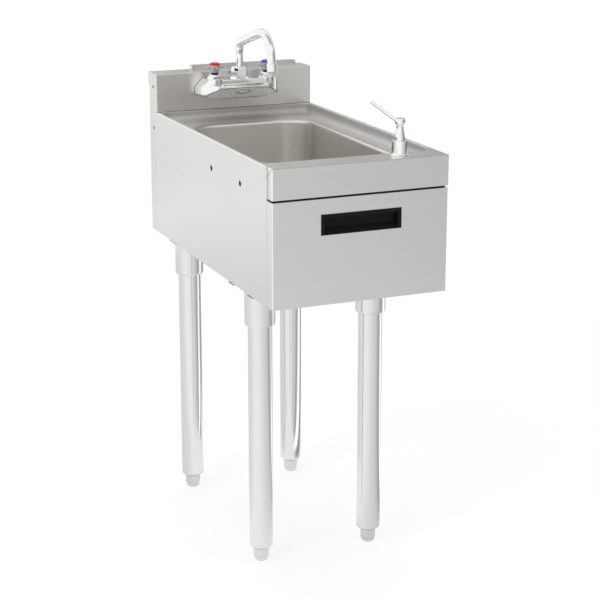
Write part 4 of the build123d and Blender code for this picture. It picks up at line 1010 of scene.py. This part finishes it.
@dataclass
class Legs(SubAssembly):
    """Four round legs with sockets, inserts and feet."""

    bead: float = 0.0016
    ripple: float = 0.0003
    ripples: int = 58
    ripple_steps: int = 4

    def dress(self) -> None:
        """Gives the legs their finishes and welds the sockets."""
        self.shop.dress(Finish.FOOT, "foot_inserts")
        self.shop.dress(Finish.FASTENER, "socket_set_screws")
        for corner in CORNERS:
            self.shop.dress(Finish.LEG, f"leg_tube_{corner}")
            self.shop.dress(Finish.SOCKET, f"leg_socket_{corner}")
            self.shop.dress(Finish.FOOT, f"foot_{corner}")
            self.weld_socket(corner)

    def weld_socket(self, corner: str) -> None:
        """Lays a rippled weld bead where a socket meets its channel.

        Args:
            corner: the socket's corner.
        """
        low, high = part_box(f"leg_socket_{corner}")
        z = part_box("front_cross_channel" if corner.startswith("front") else "rear_cross_channel")[0].z
        middle = (low + high) / 2
        radius = (high.x - low.x) / 2
        steps = self.ripples * self.ripple_steps
        path = []
        for index in range(steps):
            angle = math.tau * index / steps
            reach = radius + self.ripple * math.sin(angle * self.ripples)
            path.append(Vector((middle.x + reach * math.cos(angle), middle.y + reach * math.sin(angle), z)))
        shape = Form.wire(path, self.bead, closed=True)
        self.add(f"socket_weld_{corner}", shape, Finish.WELD, "socket_steel")


@dataclass
class TowelDrawer(SubAssembly):
    """Drawer with its front, pull, tray, runners and rails."""

    def dress(self) -> None:
        """Gives the drawer its finishes."""
        self.shop.dress(Finish.FRONT, "drawer_front")
        self.shop.dress(Finish.PULL, "drawer_pull")
        self.shop.dress(Finish.TRAY, "drawer_tray")
        self.shop.dress(Finish.FASTENER, "drawer_screws", "rail_rivets")
        for word, _ in SIDES:
            self.shop.dress(Finish.TRAY, f"{word}_drawer_runner", f"{word}_drawer_rail")


@dataclass
class Faucet(SubAssembly):
    """Two-handle faucet on the splash, with its swinging spout.

    The cap is the radius and the height of each point of its profile, from its top to its foot.
    """

    valve_x: float = 0.0508
    valve_y: float = 0.225
    cap_foot_z: float = 0.8183
    cap: tuple[Span, ...] = (
        (0.0, 0.0050), (0.0032, 0.0049), (0.0060, 0.0046), (0.0082, 0.0040), (0.0094, 0.0032),
        (0.0101, 0.0018), (0.0102, 0.0),
    )
    cap_steps: int = 72
    badge_drop: float = 0.0109
    badge_lift: float = 0.0008
    badge_half_width: float = 0.0132
    badge_half_height: float = 0.0074
    badge_wire: float = 0.0006
    badge_steps: int = 96
    shank_radius: float = 0.0103
    shank_z: float = 0.774
    thread_start_y: float = 0.2745
    thread_end_y: float = 0.2965
    thread_pitch: float = 0.0018
    thread_wire: float = 0.00045
    thread_sides: int = 6
    thread_steps: int = 40

    def dress(self) -> None:
        """Gives the faucet its finishes, and adds its caps, its threads and the painted shade round its
        badge.
        """
        self.shop.dress(Finish.CASTING, "faucet_body")
        self.shop.dress(Finish.CHROME, "valve_bonnets", "spout_nut", "spout", "spout_aerator")
        self.shop.dress(Finish.HANDLE, "hot_handle", "cold_handle")
        self.shop.dress(Finish.BRASS, "faucet_shank_nuts", "hot_stem", "cold_stem")
        self.shop.dress(Finish.RUBBER, "faucet_gasket")
        self.shop.dress(Finish.BLACK, "handle_collars")
        self.shop.dress(Finish.RED, "hot_index")
        self.shop.dress(Finish.BLUE, "cold_index")
        for word, side in TAPS:
            self.crown_index(word, side)
            self.thread_shank(word, side)
        self.shade_badge_edge()

    def crown_index(self, word: str, side: int) -> None:
        """Crowns an index disc with a smooth blank cap.

        Args:
            word: name of the tap.
            side: sign of its X.
        """
        finish, slot = (Finish.RED, "index_red") if word == "hot" else (Finish.BLUE, "index_blue")
        shape = Form.turned(self.cap, (side * self.valve_x, self.valve_y, self.cap_foot_z), self.cap_steps)
        self.add(f"{word}_index_cap", shape, finish, slot, f"{word}_valve")

    def thread_shank(self, word: str, side: int) -> None:
        """Winds the thread of a shank behind the splash.

        Args:
            word: name of the tap.
            side: sign of its X.
        """
        run = self.thread_end_y - self.thread_start_y
        foot = Vector((side * self.valve_x, self.thread_start_y, self.shank_z))
        across, aside = Vector((self.shank_radius, 0.0, 0.0)), Vector((0.0, 0.0, self.shank_radius))
        turns = run / self.thread_pitch
        path = Form.helix(foot, across, aside, Vector((0.0, run, 0.0)), turns, self.thread_steps)
        shape = Form.wire(path, self.thread_wire, sides=self.thread_sides)
        self.add(f"{word}_shank_thread", shape, Finish.CASTING, "faucet_chrome")

    def shade_badge_edge(self) -> None:
        """Draws a dark wire round the blank oval badge, on the casting's sloping face: painted shade along
        the badge's edge.
        """
        down, out = CASTING_FACE.down(), CASTING_FACE.out()
        centre = Vector((0.0, *CASTING_FACE.brow)) + down * self.badge_drop + out * self.badge_lift
        path = []
        for index in range(self.badge_steps):
            angle = math.tau * index / self.badge_steps
            across = Vector((self.badge_half_width * math.cos(angle), 0.0, 0.0))
            path.append(centre + across + down * self.badge_half_height * math.sin(angle))
        shape = Form.wire(path, self.badge_wire, closed=True)
        # Dark wire: painted shade along the badge's edge.
        self.add("badge_rim_shade", shape, Finish.SHADE, "collar_black")


@dataclass
class SoapPump(SubAssembly):
    """Soap pump in the front ledge, with its bottle under it."""

    spring_radius: float = 0.005
    spring_wire: float = 0.0005
    spring_pitch: float = 0.0045
    spring_steps: int = 24
    spring_keep: float = 0.478

    def dress(self) -> None:
        """Gives the soap pump its finishes and winds its spring."""
        self.shop.dress(Finish.CHROME, "soap_base", "soap_head", "soap_nozzle")
        self.shop.dress(Finish.PUMP, "soap_locknut", "soap_cylinder", "soap_plunger")
        self.shop.dress(Finish.BOTTLE, "soap_bottle", "soap_dip_tube")
        self.shop.dress(Finish.WIRE, "soap_spring")
        self.wind_spring()

    def wind_spring(self) -> None:
        """Winds the return spring again as a piece with its own mesh, in place of the hidden CAD spring."""
        low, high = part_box("soap_spring")
        centre = (low + high) / 2
        length = high.z - low.z - 2 * self.spring_wire
        foot = Vector((centre.x, centre.y, low.z + self.spring_wire))
        across, aside = Vector((self.spring_radius, 0.0, 0.0)), Vector((0.0, self.spring_radius, 0.0))
        turns = length / self.spring_pitch
        path = Form.helix(foot, across, aside, Vector((0.0, 0.0, length)), turns, self.spring_steps)
        shape = Form.wire(path, self.spring_wire)
        spring = self.add("soap_return_spring", shape, Finish.WIRE, "spring_steel")
        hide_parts("soap_spring")
        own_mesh(spring)


def set_up(name: str, verts: list, faces: list) -> bpy.types.Object:
    """Adds a mesh of the studio, which isn't part of the sink.

    Args:
        name: its name.
        verts: its points.
        faces: its faces.

    Returns:
        The object.
    """
    mesh = bpy.data.meshes.new(name)
    mesh.from_pydata(verts, [], faces)
    made = bpy.data.objects.new(name, mesh)
    bpy.context.scene.collection.objects.link(made)
    return made


def level_sheet(name: str, across: Span, along: Span, height: float) -> bpy.types.Object:
    """Adds a level rectangle of the studio.

    Args:
        name: its name.
        across: its limits along X.
        along: its limits along Y.
        height: its Z.

    Returns:
        The object.
    """
    (left, right), (front, back) = across, along
    verts = [(left, front, height), (right, front, height), (right, back, height), (left, back, height)]
    return set_up(name, verts, [(0, 1, 2, 3)])


def show_in_reflections(card: bpy.types.Object) -> None:
    """Leaves a studio card to reflections alone."""
    for kind in ("camera", "diffuse", "transmission", "volume_scatter", "shadow"):
        setattr(card, f"visible_{kind}", False)


def seen_ray(graph: Graph) -> Socket:
    """Tells the rays that see the white background: camera, glossy and transmission rays.

    Args:
        graph: nodes of the material or world.

    Returns:
        A mask, 1 for such a ray and 0 for others.
    """
    path = graph.node("ShaderNodeLightPath").outputs
    direct = graph.math("MAXIMUM", path["Is Camera Ray"], path["Is Glossy Ray"])
    return graph.math("MAXIMUM", direct, path["Is Transmission Ray"])


@dataclass(frozen=True)
class View:
    """Camera at the photograph's viewing angle."""

    azimuth: float = 22.93
    elevation: float = 14.5
    place: Point = (-1.0615, -2.5637, 1.2318)
    frame_pixels: float = 600.0
    focal_pixels: float = 1627.6
    shift_pixels: float = -48.0
    sensor_mm: float = 36.0
    clip: Span = (0.05, 100.0)

    def make(self) -> None:
        """Adds the camera to the scene."""
        data = bpy.data.cameras.new("camera")
        data.sensor_fit = "HORIZONTAL"
        data.sensor_width = self.sensor_mm
        data.lens = self.focal_pixels / self.frame_pixels * self.sensor_mm
        data.shift_y = self.shift_pixels / self.frame_pixels
        data.clip_start, data.clip_end = self.clip
        data.dof.use_dof = False
        camera = bpy.data.objects.new("camera", data)
        turn, tilt = math.radians(self.azimuth), math.radians(self.elevation)
        look = Vector((math.sin(turn) * math.cos(tilt), math.cos(turn) * math.cos(tilt), -math.sin(tilt)))
        camera.location = self.place
        camera.rotation_euler = look.to_track_quat("-Z", "Y").to_euler()
        bpy.context.scene.collection.objects.link(camera)
        bpy.context.scene.camera = camera


@dataclass(frozen=True)
class Room:
    """World: soft light, weaker from the right and the front, that camera, metal and glass see as white."""

    right_strength: float = 0.62
    across: Span = (-0.6, 0.9)
    front_strength: float = 0.8
    along: Span = (-1.0, 0.4)

    def make(self) -> None:
        """Sets the world."""
        world = bpy.data.worlds.new("studio_world")
        bpy.context.scene.world = world
        graph = Graph(world)
        parts = graph.parts(graph.node("ShaderNodeTexCoord").outputs["Generated"])
        across = graph.ramp(parts["X"], 1.0, self.right_strength, self.across)
        along = graph.ramp(parts["Y"], self.front_strength, 1.0, self.along)
        strength = graph.math("MULTIPLY", across, along)
        room = graph.node("ShaderNodeBackground", {"Color": (*WHITE, 1.0), "Strength": strength})
        white = graph.node("ShaderNodeBackground", {"Color": (*WHITE, 1.0), "Strength": 1.0})
        either = {0: seen_ray(graph), 1: room.outputs[0], 2: white.outputs[0]}
        mixed = graph.node("ShaderNodeMixShader", either)
        graph.node("ShaderNodeOutputWorld", {"Surface": mixed.outputs[0]})


@dataclass(frozen=True)
class Floor:
    """White floor that keeps the sink's shadow and runs out into plain white."""

    half: float = 30.0
    cloud_scale: float = 1.5
    tones: Span = (0.86, 0.88)
    near_glow: float = 0.8
    glow_span: Span = (0.55, 1.5)

    def make(self) -> None:
        """Lays the floor."""
        floor = level_sheet("floor", (-self.half, self.half), (-self.half, self.half), 0.0)
        material = bpy.data.materials.new("floor_white")
        graph = Graph(material)
        cloud = graph.ramp(graph.even_noise(self.cloud_scale, detail=2.0), 0.0, 1.0)
        dark, light = (grey(tone) for tone in self.tones)
        matt = graph.node("ShaderNodeBsdfDiffuse", {"Color": graph.tint(cloud, dark, light)})
        glow = graph.node("ShaderNodeEmission", {"Color": (*WHITE, 1.0), "Strength": 1.0})
        far = graph.ramp(graph.reach(graph.place()), self.near_glow, 1.0, self.glow_span)
        share = graph.math("MULTIPLY", seen_ray(graph), far)
        graph.surface("ShaderNodeMixShader", {0: share, 1: matt.outputs[0], 2: glow.outputs[0]})
        floor.data.materials.append(material)


@dataclass(frozen=True)
class Ceiling:
    """Grey slatted ceiling that only reflections see, fading to white at its left, front and back."""

    across: Span = (-0.9, 4.2)
    along: Span = (-1.6, 4.4)
    height: float = 3.0
    tone: Colour = (0.5, 0.485, 0.465)
    fade: float = 0.9
    back_fade: Span = (0.6, 1.2)
    slat: float = 0.36
    contrast: float = 0.7

    def make(self) -> None:
        """Hangs the ceiling."""
        card = level_sheet("ceiling_card", self.across, self.along, self.height)
        show_in_reflections(card)
        material = bpy.data.materials.new("ceiling_card_tone")
        graph = Graph(material)
        parts = graph.parts(graph.place())
        left, front = self.across[0], self.along[0]
        at_left = graph.ramp(parts["X"], 1.0, 0.0, (left, left + self.fade))
        in_front = graph.ramp(parts["Y"], 1.0, 0.0, (front, front + self.fade))
        behind = graph.ramp(parts["Y"], 0.0, 1.0, self.back_fade)
        white = graph.math("MAXIMUM", graph.math("MAXIMUM", at_left, in_front), behind)
        wave = graph.math("SINE", graph.math("MULTIPLY", parts["X"], math.tau / self.slat))
        strength = graph.ramp(wave, 1.0 - self.contrast, 1.0 + self.contrast, SINE_SPAN)
        colour = graph.tint(white, self.tone, WHITE)
        graph.surface("ShaderNodeEmission", {"Color": colour, "Strength": strength})
        card.data.materials.append(material)


@dataclass(frozen=True)
class Lamp:
    """One soft square lamp."""

    name: str
    place: Point
    target: Point
    width: float
    power: float

    def make(self) -> None:
        """Adds the lamp to the scene."""
        data = bpy.data.lights.new(self.name, "AREA")
        data.shape = "SQUARE"
        data.size = self.width
        data.energy = self.power
        lamp = bpy.data.objects.new(self.name, data)
        lamp.visible_glossy = False
        lamp.location = self.place
        towards = Vector(self.target) - Vector(self.place)
        lamp.rotation_euler = towards.to_track_quat("-Z", "Y").to_euler()
        bpy.context.scene.collection.objects.link(lamp)


@dataclass(frozen=True)
class Card:
    """Grey card that only reflections see: a ring on the floor, with a curved wall where it has a height.

    Each tone stands by its turn round the sink in degrees, 0 in front, 90 at the left and 270 at the right.
    The ring runs from near to far at its lift over the floor and fades in from white over its soft run.
    Slats are the share by which upright slats vary its strength.
    """

    name: str
    tones: tuple[Span, ...]
    near: float
    far: float
    lift: float
    soft: float
    height: float = 0.0
    slats: float = 0.0
    centre: tuple[float, float] = (0.0, 0.0)
    step = 3.0
    slat_degrees = 5.0

    def make(self) -> None:
        """Builds the card and its graded tone."""
        first, last = self.tones[0][0], self.tones[-1][0]
        count = max(2, round((last - first) / self.step))
        profile = [(self.near, self.lift), (self.far, self.lift)]
        if self.height:
            profile.append((self.far, self.height))
        rows = len(profile)
        verts, faces = [], []
        for index in range(count + 1):
            turn = math.radians(first + (last - first) * index / count)
            verts += [(-math.sin(turn) * reach, -math.cos(turn) * reach, z) for reach, z in profile]
        for index in range(count):
            for low in range(index * rows, index * rows + rows - 1):
                faces.append((low, low + 1, low + 1 + rows, low + rows))
        card = set_up(self.name, verts, faces)
        card.location = (*self.centre, 0.0)
        show_in_reflections(card)
        card.data.materials.append(self.make_tone(first, last))

    def make_tone(self, first: float, last: float) -> bpy.types.Material:
        """Makes the card's emission, graded over its turn and softened at its foot.

        Args:
            first: turn of its first edge, in degrees.
            last: turn of its last edge.

        Returns:
            The material.
        """
        material = bpy.data.materials.new(f"{self.name}_tone")
        graph = Graph(material)
        place = graph.place()
        middle, half = math.radians((first + last) / 2), math.radians((last - first) / 2)
        spin = {"Vector": place, "Angle": middle}
        turned = graph.node("ShaderNodeVectorRotate", spin, rotation_type="Z_AXIS")
        parts = graph.parts(turned.outputs[0])
        across = graph.math("MULTIPLY", parts["X"], -1.0)
        depth = graph.math("MULTIPLY", parts["Y"], -1.0)
        turn = graph.math("ARCTAN2", across, depth)
        scale = graph.node("ShaderNodeValToRGB", {"Fac": graph.ramp(turn, 0.0, 1.0, (-half, half))})
        ramp = scale.color_ramp
        while len(ramp.elements) < len(self.tones):
            ramp.elements.new(1.0)
        for element, (angle, tone) in zip(ramp.elements, self.tones):
            element.position = (angle - first) / (last - first)
            element.color = (*grey(tone), 1.0)
        inside = graph.ramp(graph.reach(place), 1.0, 0.0, (self.near, self.near + self.soft))
        colour = graph.tint(inside, scale.outputs["Color"], WHITE)
        strength = 1.0
        if self.slats:
            wave = graph.math("SINE", graph.math("MULTIPLY", turn, 360.0 / self.slat_degrees))
            strength = graph.ramp(wave, 1.0 - self.slats, 1.0 + self.slats, SINE_SPAN)
        graph.surface("ShaderNodeEmission", {"Color": colour, "Strength": strength})
        return material


LAMPS = (
    Lamp("key_lamp", (-3.2, -1.6, 3.4), (0.0, 0.0, 0.5), width=2.6, power=90.0),
    Lamp("fill_lamp", (3.4, -3.0, 2.4), (0.0, 0.0, 0.4), width=2.4, power=40.0),
    Lamp("top_lamp", (0.2, 0.6, 4.2), (0.0, 0.0, 0.6), width=2.4, power=50.0),
)

BACK_TONES = (
    (177, 1.0), (186, 0.88), (192, 0.62), (198, 0.48), (204, 0.46), (208, 0.4), (214, 0.42), (226, 0.5),
    (238, 0.7), (248, 1.0),
)
RIGHT_TONES = (
    (252, 1.0), (264, 0.55), (277, 0.2), (290, 0.24), (304, 0.38), (320, 0.52), (336, 0.64), (350, 0.76),
    (360, 0.88), (372, 1.0),
)
NEAR_RIGHT_TONES = (
    (227, 0.7), (237, 0.3), (249, 0.36), (258, 1.35), (280, 1.35), (287, 0.7), (294, 0.46), (303, 0.42),
    (313, 0.52), (324, 0.66), (335, 0.72), (346, 0.77), (357, 0.8), (367, 0.85), (377, 0.9), (392, 0.96),
    (404, 1.0),
)
NEAR_LEFT_TONES = (
    (50, 1.0), (75, 1.0), (86, 0.95), (98, 0.88), (111, 0.85), (126, 0.84), (144, 0.8), (160, 0.78),
    (170, 0.76), (182, 0.95),
)
RIGHT_BAND_TONES = ((238, 1.0), (246, 0.1), (262, 0.16), (300, 0.22), (316, 0.45), (328, 1.0))
LEFT_BAND_TONES = ((164, 1.0), (169, 0.1), (178, 0.1), (186, 0.5))

CARDS = (
    Card("back_card", BACK_TONES, near=0.42, far=4.2, lift=0.0006, soft=0.35, height=3.0, slats=0.4),
    Card("right_card", RIGHT_TONES, near=1.8, far=4.2, lift=0.0006, soft=0.2, height=3.0),
    Card("near_right_card", NEAR_RIGHT_TONES, near=0.05, far=1.9, lift=0.001, soft=0.1, centre=(0.06, 0.08)),
    Card("near_left_card", NEAR_LEFT_TONES, near=0.15, far=2.1, lift=0.001, soft=0.15),
    Card("right_band", RIGHT_BAND_TONES, near=2.95, far=4.19, lift=0.0014, soft=0.15),
    Card("left_band", LEFT_BAND_TONES, near=2.95, far=4.19, lift=0.0014, soft=0.15),
)


@dataclass(frozen=True)
class Studio:
    """White studio: camera, world, floor, ceiling, soft lamps and grey cards."""

    parts: tuple = (View(), Room(), Floor(), Ceiling(), *LAMPS, *CARDS)

    def make(self) -> None:
        """Builds the whole studio."""
        for part in self.parts:
            part.make()
        bpy.context.scene.view_settings.view_transform = "Standard"


def main() -> None:
    """Builds the studio and dresses each sub-assembly in turn."""
    logging.basicConfig(level=logging.INFO, format="%(message)s")
    Studio().make()
    shop = PaintShop()
    for kind in (Cabinet, Basin, Legs, TowelDrawer, Faucet, SoapPump):
        kind(shop).dress()
        LOG.info("dressed %s", kind.__name__)


if __name__ == "__main__":
    main()
